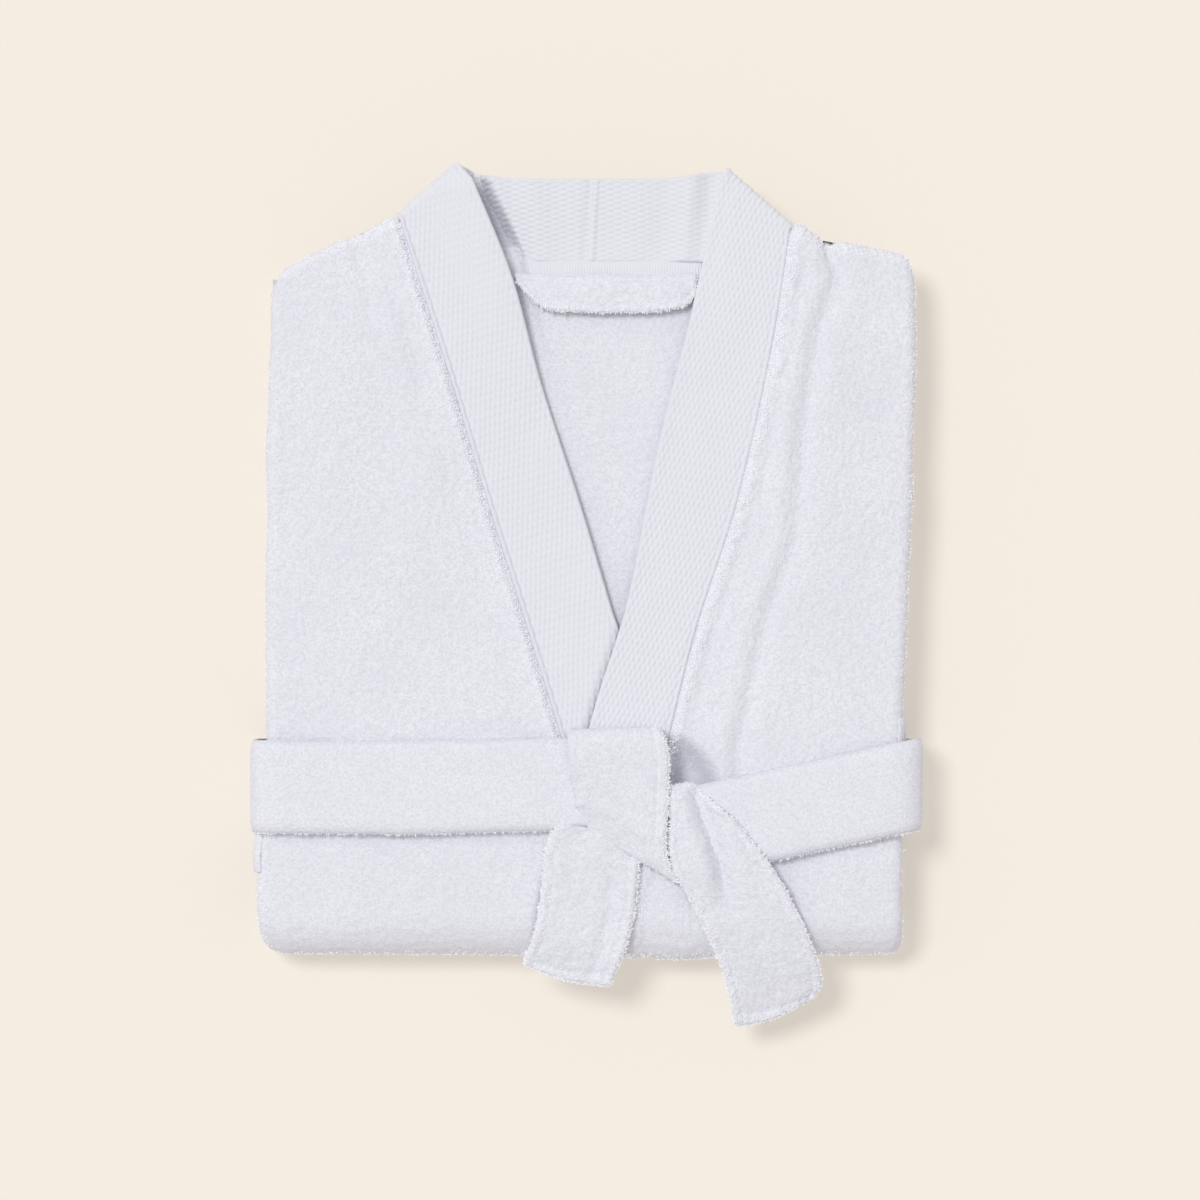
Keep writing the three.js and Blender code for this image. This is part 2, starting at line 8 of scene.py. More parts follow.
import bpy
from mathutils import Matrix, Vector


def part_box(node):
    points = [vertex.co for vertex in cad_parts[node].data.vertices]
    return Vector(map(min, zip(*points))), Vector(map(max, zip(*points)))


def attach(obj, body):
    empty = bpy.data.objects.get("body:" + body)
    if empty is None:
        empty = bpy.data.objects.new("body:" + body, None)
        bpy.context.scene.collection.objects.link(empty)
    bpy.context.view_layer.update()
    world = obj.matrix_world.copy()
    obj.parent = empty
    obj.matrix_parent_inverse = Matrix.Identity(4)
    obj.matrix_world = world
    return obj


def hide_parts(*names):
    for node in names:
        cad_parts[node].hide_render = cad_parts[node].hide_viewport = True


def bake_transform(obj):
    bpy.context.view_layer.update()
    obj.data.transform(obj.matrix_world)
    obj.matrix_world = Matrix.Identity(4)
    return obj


bl_info = {
    "name": "Folded terry bathrobe",
    "version": (1, 0, 0),
    "blender": (4, 5, 0),
    "location": "View3D > Sidebar > Bathrobe",
    "description": "Builds a folded terry bathrobe with a honeycomb band and a tied belt",
    "category": "Add Mesh",
}

import math

import bpy
import numpy as np
from bpy.props import FloatProperty, PointerProperty, StringProperty

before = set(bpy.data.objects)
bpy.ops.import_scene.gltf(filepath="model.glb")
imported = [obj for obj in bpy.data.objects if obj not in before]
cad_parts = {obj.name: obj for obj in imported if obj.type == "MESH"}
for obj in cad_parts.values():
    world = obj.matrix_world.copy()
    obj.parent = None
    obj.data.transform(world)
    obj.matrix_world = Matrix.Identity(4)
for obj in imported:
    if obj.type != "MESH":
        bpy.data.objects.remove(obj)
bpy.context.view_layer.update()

MM = 0.001


def box_mm(node):
    """The lowest and highest corner of a CAD node, in millimetres."""
    low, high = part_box(node)
    return np.array(low) / MM, np.array(high) / MM


# ---- places taken from the frame, in millimetres ----
STACK = box_mm("right_front_panel")[1][2]
BOTTOM_Y = box_mm("right_front_panel")[0][1]
FOLD_RADIUS = STACK / 2
FOLD_Y = BOTTOM_Y + FOLD_RADIUS
BELT_REACH, _, BELT_HIGH = box_mm("belt_wrap")[1]
SLEEVE_LOW, SLEEVE_HIGH = box_mm("left_sleeve")[0][2], box_mm("left_sleeve")[1][2]
TAPE_LOW, TAPE_HIGH = box_mm("neck_tape")

# ---- cloth and folding, in millimetres ----
PLY = 3.0                               # one layer of terry
PITCH = 3.3                             # from layer to layer in the stack
UNDER_RISE = 4.5                        # the skirt's underside above the floor, over the pockets
TURN_DEPTH = 3 * PITCH - 0.15           # radius of the turn where the skirt folds back under the collar
TURN_Y = 176.0 - TURN_DEPTH             # centre of that turn
HEM_Y = -160.0                          # the skirt's hem, inside the stack
ROUTE_TOP_Y = 260.0                     # where distances along the cloth start, above the collar
BUNDLE_TOP, BUNDLE_UNDER = 12.9, 9.6    # height of the side folds, above and under the stack
SEAM_LINE_LEFT, SEAM_LINE_RIGHT = 16.0, 22.0    # X of the bands' seams, under the stack
EDGE_LEFT, EDGE_RIGHT = 65.0, -27.0             # X of the bands' free edges, under the stack
SIDE_FLAP = 46.0                        # width of a front's part that is folded behind
BAND_WIDTH = 50.0
BELT_PLY, BELT_WIDTH = 4.2, 52.0
BELT_CLOTH = 3.6                        # thickness of the belt's cloth as it is drawn
WRAP_WIDTH, TAIL_WIDTH = 56.0, 54.0
CELL_WIDTH, CELL_HEIGHT = 2.95, 8.8     # repeat of the honeycomb; its rows are staggered by half


# ---- Numbers and curves -----------------------------------------------------------------------------

def smoothstep(low, high, value):
    """0 below low, 1 above high, and a smooth rise between."""
    t = np.clip((value - low) / (high - low), 0.0, 1.0)
    return t * t * (3 - 2 * t)


def bump(centre, width, value):
    """A smooth hump of height 1 at centre."""
    return np.exp(-(((value - centre) / width) ** 2))


LATTICES = {}


def noise(u, v, size, seed):
    """Smooth random height from -1 to 1 with a grain of size, over cloth coordinates."""
    if seed not in LATTICES:
        LATTICES[seed] = np.random.RandomState(seed).uniform(-1, 1, (509, 509))
    lattice = LATTICES[seed]
    x, y = np.asarray(u) / size + 200.5, np.asarray(v) / size + 200.5
    i, j = np.floor(x).astype(int), np.floor(y).astype(int)
    fx, fy = x - i, y - j
    fx, fy = fx * fx * (3 - 2 * fx), fy * fy * (3 - 2 * fy)
    side = len(lattice)
    a = lattice[i % side, j % side]
    b = lattice[(i + 1) % side, j % side]
    c = lattice[i % side, (j + 1) % side]
    d = lattice[(i + 1) % side, (j + 1) % side]
    return (a * (1 - fx) + b * fx) * (1 - fy) + (c * (1 - fx) + d * fx) * fy


def distances(line):
    """Distance along a line of points, from its first point."""
    return np.concatenate([[0], np.cumsum(np.linalg.norm(np.diff(line, axis=0), axis=1))])


def values_at(where, run, values):
    """The rows of values at other distances along a line, where run holds their own distances."""
    return np.stack([np.interp(where, run, values[:, k]) for k in range(values.shape[1])], 1)


def smooth_line(points, steps):
    """A smooth curve through the given points, with a number of steps between each two."""
    p = np.asarray(points, float)
    p = np.vstack([2 * p[0] - p[1], p, 2 * p[-1] - p[-2]])
    t = np.linspace(0, 1, steps, endpoint=False)[:, None]
    found = []
    for a, b, c, d in zip(p, p[1:], p[2:], p[3:]):
        found.append(0.5 * (2 * b + (c - a) * t + (2 * a - 5 * b + 4 * c - d) * t**2
                            + (3 * b - a - 3 * c + d) * t**3))
    return np.vstack(found + [p[-2][None]])


def spline(points, count):
    """Points on a smooth curve through the given ones, evenly spread along it."""
    dense = smooth_line(points, 40)
    length = distances(dense)
    return values_at(np.linspace(0, length[-1], count), length, dense)


def spread(stops, group):
    """Positions along a line. stops is [(start, end, step), ...]; their count fits whole groups of steps."""
    found = [np.array([stops[0][0]])]
    for start, end, step in stops:
        count = max(1, int(round(abs(end - start) / step)))
        found.append(np.linspace(start, end, count + 1)[1:])
    values = np.concatenate(found)
    whole = int(math.ceil((len(values) - 1) / group)) * group
    return np.interp(np.linspace(0, len(values) - 1, whole + 1), np.arange(len(values)), values)


# ---- the way the robe is folded ----

def fold_route():
    """The route of the outermost face from above the shoulders to the hem, in the Y-Z plane.

    Returns the distance along it, Y, Z and the inward normal's Y and Z.
    """
    steps = 400
    rows = []
    for y in np.linspace(ROUTE_TOP_Y, FOLD_Y, steps, endpoint=False):
        rows.append((y, STACK, 0, -1))
    for angle in np.linspace(math.pi / 2, 3 * math.pi / 2, 80, endpoint=False):
        cos, sin = math.cos(angle), math.sin(angle)
        rows.append((FOLD_Y + FOLD_RADIUS * cos, FOLD_RADIUS + FOLD_RADIUS * sin, -cos, -sin))
    for y in np.linspace(FOLD_Y, TURN_Y, steps, endpoint=False):
        rise = UNDER_RISE * float(smoothstep(FOLD_Y + 14, FOLD_Y + 42, y))
        rows.append((y, rise, 0, 1))
    for angle in np.linspace(-math.pi / 2, math.pi / 2, 40, endpoint=False):
        cos, sin = math.cos(angle), math.sin(angle)
        centre = UNDER_RISE + TURN_DEPTH
        rows.append((TURN_Y + TURN_DEPTH * cos, centre + TURN_DEPTH * sin, -cos, -sin))
    for y in np.linspace(TURN_Y, HEM_Y, steps):
        rows.append((y, UNDER_RISE + 2 * TURN_DEPTH, 0, -1))
    rows = np.array(rows, float)
    return distances(rows[:, :2]), rows


ROUTE_S, ROUTE = fold_route()
S_FOLD = ROUTE_TOP_Y - FOLD_Y
S_UNDER = S_FOLD + math.pi * FOLD_RADIUS
S_TURN = S_UNDER + TURN_Y - FOLD_Y
S_THIRD = S_TURN + math.pi * TURN_DEPTH
S_HEM = ROUTE_S[-1]


def folded(x, s, depth):
    """Flat cloth coordinates (across, along, depth below the outer face) laid on the folded stack."""
    y, z, ny, nz = (np.interp(s, ROUTE_S, ROUTE[:, k]) for k in range(4))
    return np.stack([x, y + ny * depth, z + nz * depth], -1)


def pressed(x, y):
    """How far the top of the stack is pressed in below the belt's lower edges and beside the knot."""
    left_gap = bump(-134.8, 3.6, y) * smoothstep(-14, -26, x)
    lower = np.interp(x, [60, 84, 104, 128, 160, 190], [-146, -151.5, -150.5, -145.5, -138.5, -134])
    right_gap = bump(0, 4.0, y - lower) * smoothstep(66, 90, x)
    from_knot = np.hypot(x - 44, y + 108)
    pocket = 12.5 * smoothstep(33, 17, from_knot) * smoothstep(36, 44, x)
    return 2.2 * (left_gap + right_gap) + pocket


def beside_left_band(x, y, depth):
    """The hollow along the left band's inner edge, where the collar stands proud of what is behind it."""
    away = x - left_inner(ROUTE_TOP_Y - y)
    return depth * smoothstep(12, 6, away) * smoothstep(105, 170, y)


def settle(points):
    """The soft stack's small departures from true: rounded corners and gentle waves, shared by all pieces."""
    p = points.copy()
    x, y, z = p[..., 0], p[..., 1], p[..., 2]
    height = np.clip(z / STACK, 0, 1.4)
    corner = smoothstep(-165, -200, y)
    p[..., 1] += 6.5 * corner * smoothstep(163, 187, np.abs(x)) ** 2
    dip = bump(45, 38, x)
    p[..., 1] += (1.3 * (1 - dip) - 1.6 * dip) * smoothstep(-185, -203, y)
    crown = 1 - 0.055 * smoothstep(120, 186, np.abs(x)) - 0.03 * smoothstep(120, 200, y)
    crown = crown - 0.02 * smoothstep(-140, -180, y)
    waves = 0.8 * noise(x, y, 95.0, 11) + 0.45 * noise(x, y, 47.0, 12)
    p[..., 2] = np.maximum(z * crown + waves * height - pressed(x, y) * smoothstep(22, 47, z), 0.2)
    p[..., 0] += (0.8 * noise(y, z, 80.0, 13) + 0.5 * noise(y, z, 31.0, 14)) * smoothstep(120, 180, np.abs(x))
    return p


# ---- the front's edges, from the collar down to the bottom fold, as (x, y) ----

def edge_x(points, under_x):
    """A function that gives an edge's X by distance along the cloth."""
    line = spline(points, 200)
    order = np.argsort(-line[:, 1])
    s = ROUTE_TOP_Y - line[order, 1]
    return lambda at: np.where(at < S_FOLD, np.interp(at, s, line[order, 0]), under_x)


right_inner = edge_x([[76, 239], [60, 165], [40, 84], [22, -5], [4, -64], [EDGE_RIGHT, FOLD_Y]], EDGE_RIGHT)
right_outer = edge_x(
    [[114.2, 205.6], [103, 136], [84, 52], [61, -20], [40, -105], [SEAM_LINE_RIGHT, FOLD_Y]], SEAM_LINE_RIGHT)
left_inner = edge_x([[-66, 239], [-42, 180], [-25, 118], [-3, 50], [24, -40], [EDGE_LEFT, FOLD_Y]], EDGE_LEFT)
left_outer = edge_x([[-104.6, 210.4], [-76, 121], [-55, 51], [-30, -28], [SEAM_LINE_LEFT, FOLD_Y]], SEAM_LINE_LEFT)


def under_right(x, s):
    """How deep the left front's cloth lies, where it goes under the right front."""
    return PITCH * smoothstep(-5.0, 0.5, x - right_inner(s))


# ---- Surface relief of the cloths, in millimetres ---------------------------------------------------

def terry(u, v, height=0.42):
    """Loop pile: a fine irregular grain in faint rows, with soft lumps where it has been pressed.

    Its loops are 1.3 to 2 mm apart, a little coarser than real ones, so that the mesh can carry them.
    """
    grain = 0.65 * noise(u, v, 2.0, 21) + 0.45 * noise(u, v, 1.3, 22)
    rows = 0.35 * np.sin(2 * math.pi * (v + 0.9 * noise(u, v, 9.0, 23)) / 2.3)
    return height * (grain + rows + 0.16 * noise(u, v, 5.5, 24))


def honeycomb(u, v, lean_degrees=0.0, height=0.62):
    """Honeycomb pique: staggered long cells, in columns that run along v and lean towards +u at growing v."""
    a = math.radians(lean_degrees)
    across = u * math.cos(a) - v * math.sin(a) + 0.35 * noise(u, v, 17.0, 31)
    along = u * math.sin(a) + v * math.cos(a) + 0.5 * noise(u, v, 23.0, 32)
    cell = np.cos(2 * math.pi * across / CELL_WIDTH) * np.cos(2 * math.pi * along / CELL_HEIGHT)
    rows = 0.22 * np.cos(4 * math.pi * along / CELL_HEIGHT)
    return height * (smoothstep(-0.8, 0.35, cell) - 0.6 + rows) + 0.05 * noise(u, v, 1.3, 33)


def stitched_groove(distance, along, depth=0.55, width=0.75, stitch=3.0):
    """The dip that a row of stitches pulls into cloth."""
    pull = 0.72 + 0.28 * np.cos(2 * math.pi * along / stitch)
    return -depth * pull * bump(0, width, distance)


# ---- Meshes -----------------------------------------------------------------------------------------

def edge_distance(points, axis):
    """Distance to the nearer end, along the rows or columns of a grid of points."""
    run = np.cumsum(np.linalg.norm(np.diff(points, axis=axis), axis=-1), axis=axis)
    run = np.concatenate([np.zeros_like(np.take(run, [0], axis=axis)), run], axis=axis)
    return np.minimum(run, np.take(run, [-1], axis=axis) - run)


def unit(vectors):
    """The same vectors with length 1."""
    return vectors / np.maximum(np.linalg.norm(vectors, axis=-1, keepdims=True), 1e-9)


def grid_normals(mid, turn):
    """Unit normals of a grid of points; turn is 1 or -1."""
    return unit(np.cross(np.gradient(mid, axis=1), np.gradient(mid, axis=0)) * turn)


SURFACES = {}


def shell(name, mid, thickness, relief, uv, turn=1, **options):
    """An object made of one closed sheet; see shell_data."""
    return make_mesh(name, shell_data(name, mid, thickness, relief, uv, turn, **options))


def shell_data(name, mid, thickness, relief, uv, turn=1, group=4, edge=None, settled=True):
    """A closed sheet of cloth round a grid of points in millimetres, as points, faces and UVs.

    Its outer face has every point of the grid and carries the relief. Its inner face has each group-th point.
    The thickness falls off in a half round at the four edges.
    """
    rows, columns = mid.shape[:2]
    normal = grid_normals(mid, turn)
    radius = thickness / 2 if edge is None else edge
    near = np.clip(np.minimum(edge_distance(mid, 0), edge_distance(mid, 1)) / radius, 0, 1)
    full = np.sqrt(np.clip(1 - (1 - near) ** 2, 0.03, 1))
    outer = mid + normal * (full * (thickness / 2 + relief))[..., None]
    inner = (mid - normal * (full * thickness / 2)[..., None])[::group, ::group]
    few_rows, few_columns = inner.shape[:2]
    points = np.vstack([outer.reshape(-1, 3), inner.reshape(-1, 3)])
    if settled:
        points = settle(points)
    first = rows * columns
    SURFACES[name] = (points[:first].reshape(rows, columns, 3), uv)

    def at_outer(i, j):
        return i * columns + j

    def at_inner(i, j):
        return first + i * few_columns + j

    def border(count_rows, count_columns, index):
        last_row, last_column = count_rows - 1, count_columns - 1
        return ([index(0, j) for j in range(last_column)] + [index(i, last_column) for i in range(last_row)]
                + [index(last_row, j) for j in range(last_column, 0, -1)]
                + [index(i, 0) for i in range(last_row, 0, -1)])

    def quads(count_rows, count_columns, index, forward):
        i, j = np.meshgrid(np.arange(count_rows - 1), np.arange(count_columns - 1), indexing="ij")
        i, j = i.ravel(), j.ravel()
        corners = [index(i, j), index(i, j + 1), index(i + 1, j + 1), index(i + 1, j)]
        return np.stack(corners if forward else corners[::-1], 1)

    faces = np.vstack([
        quads(rows, columns, at_outer, turn > 0),
        quads(few_rows, few_columns, at_inner, turn < 0),
    ]).tolist()
    loop, few = border(rows, columns, at_outer), border(few_rows, few_columns, at_inner)
    for k in range(len(few)):
        near_few, next_few = few[k], few[(k + 1) % len(few)]
        half = max(1, group // 2)
        for m in range(group):
            a, b = loop[(k * group + m) % len(loop)], loop[(k * group + m + 1) % len(loop)]
            face = [b, a, near_few if m < half else next_few]
            faces.append(face if turn > 0 else face[::-1])
        bridge = [loop[(k * group + half) % len(loop)], near_few, next_few]
        faces.append(bridge if turn > 0 else bridge[::-1])
    return points, faces, np.vstack([uv.reshape(-1, 2), uv[::group, ::group].reshape(-1, 2)])


def make_mesh(name, *parts):
    """An object whose place is in its mesh, from one or more (points, faces, UVs), smooth, with its UV map."""
    mesh = bpy.data.meshes.new(name)
    points = np.vstack([part[0] for part in parts])
    uv = np.vstack([part[2] for part in parts])
    faces, first = [], 0
    for part in parts:
        faces += [[first + index for index in face] for face in part[1]]
        first += len(part[0])
    mesh.from_pydata((np.asarray(points) * MM).tolist(), [], faces)
    mesh.validate()
    mesh.update()
    mesh.polygons.foreach_set("use_smooth", [True] * len(mesh.polygons))
    layer = mesh.uv_layers.new(name="cloth")
    index = np.zeros(len(mesh.loops), np.int32)
    mesh.loops.foreach_get("vertex_index", index)
    layer.data.foreach_set("uv", (uv[index] * MM).astype(np.float32).ravel())
    piece = bpy.data.objects.new(name, mesh)
    bpy.context.scene.collection.objects.link(piece)
    return piece


def yarn_loops(roots, outward, uv, size, seed, thickness=0.34):
    """Small bent loops of yarn that stand on the roots, as points, faces and UVs. Each has ten faces."""
    random = np.random.RandomState(seed)
    count = len(roots)
    heading = unit(outward + random.normal(0, 0.42, (count, 3)))
    droop = random.normal(0, 0.45, (count, 3))
    length = (size * random.uniform(0.55, 1.3, count))[:, None]
    side = unit(np.cross(heading, random.normal(size=(count, 3))))
    other = np.cross(heading, side)
    rows = []
    for share, width in ((-0.15, 0.9), (0.6, 1.25)):
        centre = roots + (heading * share + droop * share**2 * 0.5) * length
        for turn in (0, 2 * math.pi / 3, 4 * math.pi / 3):
            rows.append(centre + thickness * width * (math.cos(turn) * side + math.sin(turn) * other))
    rows.append(roots + (heading + droop * 0.5) * length)
    points = np.stack(rows, 1).reshape(-1, 3)
    pattern = [[0, 1, 4, 3], [1, 2, 5, 4], [2, 0, 3, 5], [3, 4, 6], [4, 5, 6], [5, 3, 6], [2, 1, 0]]
    faces = [[first + k for k in face] for first in range(0, 7 * count, 7) for face in pattern]
    return points, faces, np.repeat(uv, 7, 0)


def pile_on(surface, turn, weight, size, seed):
    """Loops of yarn on a shell's outer face. weight is how many stand on a square millimetre, by grid point."""
    grid, uv = SURFACES[surface]
    random = np.random.RandomState(seed)
    normal = grid_normals(grid, turn)
    area = np.linalg.norm(np.cross(np.gradient(grid, axis=1), np.gradient(grid, axis=0)), axis=-1)
    i, j = np.nonzero((random.uniform(size=area.shape) < area * weight)[:-1, :-1])
    a, b = random.uniform(size=(2, len(i), 1))
    roots = grid[i, j] + a * (grid[i + 1, j] - grid[i, j]) + b * (grid[i, j + 1] - grid[i, j])
    return yarn_loops(roots, normal[i, j], uv[i, j], size, seed + 1)


def fringe_on(surface, turn, sides, spacing, size, seed):
    """Loops of yarn along a shell's edges. sides are 0 first row, 1 last row, 2 first column, 3 last column."""
    grid, uv = SURFACES[surface]
    normal = grid_normals(grid, turn)
    found = []
    for side in sides:
        at_edge, inside = ((0, 4), (-1, -5))[side % 2]
        take, inner = ((at_edge, inside) if side < 2 else
                       ((slice(None), at_edge), (slice(None), inside)))
        edge = grid[take]
        run = distances(edge)
        random = np.random.RandomState(seed + side)
        at = np.sort(random.uniform(0, run[-1], int(run[-1] / spacing)))
        blend = random.uniform(-0.2, 0.9, (len(at), 1))
        lean = values_at(at, run, unit(edge - grid[inner]))
        lift = values_at(at, run, normal[inner])
        root = values_at(at, run, edge) + (lift * 1.1 - lean * 0.9) * np.clip(blend, 0, 1)
        found.append((root, unit(lean * (1 - blend * 0.6) + lift * blend), values_at(at, run, uv[take])))
    return yarn_loops(*(np.vstack(part) for part in zip(*found)), size, seed + 9)


def stitches(line, normal, pitch=3.0, length=2.1, thread=0.24, sunk=0.1):
    """A row of stitches along a line of points, as points, faces and UVs. Each has 14 faces."""
    run = distances(line)
    at = np.arange(pitch / 2, run[-1] - pitch / 2, pitch)
    centre, up = values_at(at, run, line), unit(values_at(at, run, normal))
    heading = unit(values_at(at + 0.5, run, line) - values_at(at - 0.5, run, line))
    side = unit(np.cross(up, heading))
    rows = []
    for share, width, drop in ((-0.5, 0.5, 0.45), (-0.28, 1.0, 0.0), (0.28, 1.0, 0.0), (0.5, 0.5, 0.45)):
        middle = centre + heading * share * length - up * (sunk + drop)
        for turn in (0, math.pi / 2, math.pi, 3 * math.pi / 2):
            rows.append(middle + thread * width * (math.cos(turn) * side + math.sin(turn) * up))
    points = np.stack(rows, 1).reshape(-1, 3)
    pattern = [[r + k, r + (k + 1) % 4, r + 4 + (k + 1) % 4, r + 4 + k] for r in (0, 4, 8) for k in range(4)]
    pattern += [[3, 2, 1, 0], [12, 13, 14, 15]]
    faces = [[first + k for k in face] for first in range(0, 16 * len(at), 16) for face in pattern]
    return points, faces, np.zeros((16 * len(at), 2))


def stitch_column(surface, turn, distance, axis=1, rows=slice(None), **options):
    """Stitches at a distance in from a shell's edge: the first column or row, or the last if negative."""
    grid, _ = SURFACES[surface]
    normal = grid_normals(grid, turn)
    if axis == 0:
        grid, normal = grid.transpose(1, 0, 2), normal.transpose(1, 0, 2)
    run = distances(grid[len(grid) // 2])
    column = int(np.argmin(np.abs(run - (distance if distance > 0 else run[-1] + distance))))
    return stitches(grid[rows, column], normal[rows, column], **options)


def finish_piece(piece, kind, replaced=None, body="robe", hinge=None):
    """Gives a piece its material and slot, hides the CAD node that it stands for, and puts it on its body.

    A piece with a hinge, a pair of points in millimetres, goes on no body; only its place is baked into its mesh. The
    hinge's points are not used.
    """
    piece.data.materials.append(material_for(kind))
    if hinge is None:
        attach(piece, body)
    else:
        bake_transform(piece)
    if replaced:
        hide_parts(replaced)


def add_yarn(name, kind, parts, body="robe", hinge=None):
    """A piece made of loops or stitches, on the same body as its cloth."""
    finish_piece(make_mesh(name, *parts), kind, None, body, hinge)


# ---- Materials --------------------------------------------------------------------------------------

def linear(colour):
    """An sRGB hex colour such as "#f2f3f6" as linear RGBA."""
    values = [int(colour[k:k + 2], 16) / 255 for k in (1, 3, 5)]
    return [v / 12.92 if v <= 0.04045 else ((v + 0.055) / 1.055) ** 2.4 for v in values] + [1.0]


def grains(apart):
    """The scale of a noise texture whose grains are this far apart, in millimetres."""
    return 1 / (apart * MM)


def bands(apart):
    """The scale of a wave texture whose bands are this far apart, in millimetres."""
    return 2 * math.pi / 20 / (apart * MM)


def add(tree, kind, inputs=None, **settings):
    """Adds a node with its settings; an input's value is a number, a colour or another node's socket."""
    node = tree.nodes.new(kind)
    for key, value in settings.items():
        setattr(node, key, value)
    for key, value in (inputs or {}).items():
        if isinstance(value, bpy.types.NodeSocket):
            tree.links.new(value, node.inputs[key])
        else:
            node.inputs[key].default_value = value
    return node


def new_material(name, values):
    """A node material with a Principled shader, its values and its output."""
    material = bpy.data.materials.new(name)
    material.use_nodes = True
    tree = material.node_tree
    tree.nodes.clear()
    shader = add(tree, "ShaderNodeBsdfPrincipled", values)
    output = add(tree, "ShaderNodeOutputMaterial")
    tree.links.new(shader.outputs["BSDF"], output.inputs["Surface"])
    return material, tree, shader


def cotton_terry(settings):
    """Loop-pile cotton terry, bleached white: matte, with small soft loops in faint rows and a fuzzy sheen."""
    material, tree, shader = new_material("cotton_terry_loop_pile_white", {
        "Roughness": 1.0, "Specular IOR Level": 0.15, "Sheen Weight": 0.12, "Sheen Roughness": 0.6})
    cloth = add(tree, "ShaderNodeUVMap", uv_map="cloth").outputs["UV"]
    # Loops lean this way and that: the noise is warped by a coarser one before it is used.
    wander = add(tree, "ShaderNodeTexNoise", {"Vector": cloth, "Scale": grains(2.381), "Detail": 2.0})
    warped = add(tree, "ShaderNodeVectorMath", {0: wander.outputs["Color"], "Scale": 0.0016}, operation="SCALE")
    place = add(tree, "ShaderNodeVectorMath", {0: cloth, 1: warped.outputs[0]}, operation="ADD").outputs[0]
    loops = add(tree, "ShaderNodeTexNoise", {"Vector": place, "Scale": grains(settings.loop_spacing),
                "Detail": 3.0, "Roughness": 0.62, "Lacunarity": 2.1})
    # The loops stand in rows along the weft, closer together along the warp.
    rows = add(tree, "ShaderNodeTexWave", {"Vector": place, "Scale": bands(2.2931), "Distortion": 1.2, "Detail": 2.0,
               "Detail Scale": 2.0}, wave_type="BANDS", bands_direction="Y")
    warp = add(tree, "ShaderNodeTexWave", {"Vector": place, "Scale": bands(1.65347), "Distortion": 2.0, "Detail": 2.0,
               "Detail Scale": 2.0}, wave_type="BANDS", bands_direction="X")
    weave = add(tree, "ShaderNodeMath", {0: rows.outputs["Fac"], 1: warp.outputs["Fac"]}, operation="ADD")
    weave = add(tree, "ShaderNodeMath", {0: weave.outputs[0], 1: 0.07}, operation="MULTIPLY")
    height = add(tree, "ShaderNodeMath", {0: loops.outputs["Fac"], 1: weave.outputs[0]}, operation="ADD")
    relief = add(tree, "ShaderNodeBump", {"Height": height.outputs[0], "Strength": 0.5,
                 "Distance": settings.loop_height * MM})
    # Painted shade: the colour is darker between the loops, where less light comes back.
    shade = add(tree, "ShaderNodeMapRange", {"Value": loops.outputs["Fac"], "From Min": 0.38, "From Max": 0.58,
                "To Min": 1.0, "To Max": 0.0})
    colour = add(tree, "ShaderNodeMix", {0: shade.outputs[0], "A": linear(settings.terry_colour),
                 "B": linear(settings.terry_shade_and_tone)}, data_type="RGBA")
    # The same darker colour also comes in at random over some 40 mm: a tone of the cloth itself, not shade.
    worn = add(tree, "ShaderNodeTexNoise", {"Vector": cloth, "Scale": grains(41.6667), "Detail": 3.0})
    tone = add(tree, "ShaderNodeMapRange", {"Value": worn.outputs["Fac"], "From Min": 0.3, "From Max": 0.7,
               "To Min": 0.0, "To Max": 0.35})
    colour = add(tree, "ShaderNodeMix", {0: tone.outputs[0], "A": colour.outputs["Result"],
                 "B": linear(settings.terry_shade_and_tone)}, data_type="RGBA")
    tree.links.new(colour.outputs["Result"], shader.inputs["Base Color"])
    tree.links.new(relief.outputs["Normal"], shader.inputs["Normal"])
    return material


def cotton_yarn(settings):
    """The terry's loose loops of soft cotton yarn, bleached white. Light passes through them, and a painted glow
    lightens them.
    """
    material, tree, shader = new_material("cotton_yarn_loops_white", {
        "Roughness": 1.0, "Specular IOR Level": 0.1, "Emission Strength": settings.yarn_glow})
    cloth = add(tree, "ShaderNodeUVMap", uv_map="cloth").outputs["UV"]
    tone = add(tree, "ShaderNodeTexNoise", {"Vector": cloth, "Scale": grains(2.0), "Detail": 2.0})
    colour = add(tree, "ShaderNodeMix", {0: tone.outputs["Fac"], "A": linear(settings.yarn_colour),
                 "B": linear(settings.yarn_shade)}, data_type="RGBA").outputs["Result"]
    tree.links.new(colour, shader.inputs["Base Color"])
    # Painted light: the loops glow in their own colour, in place of light scattered inside the pile, so their shaded
    # sides stay pale.
    tree.links.new(colour, shader.inputs["Emission Color"])
    through = add(tree, "ShaderNodeBsdfTranslucent", {"Color": colour})
    both = add(tree, "ShaderNodeMixShader", {0: 0.5, 1: shader.outputs["BSDF"], 2: through.outputs["BSDF"]})
    tree.links.new(both.outputs["Shader"], tree.nodes["Material Output"].inputs["Surface"])
    return material


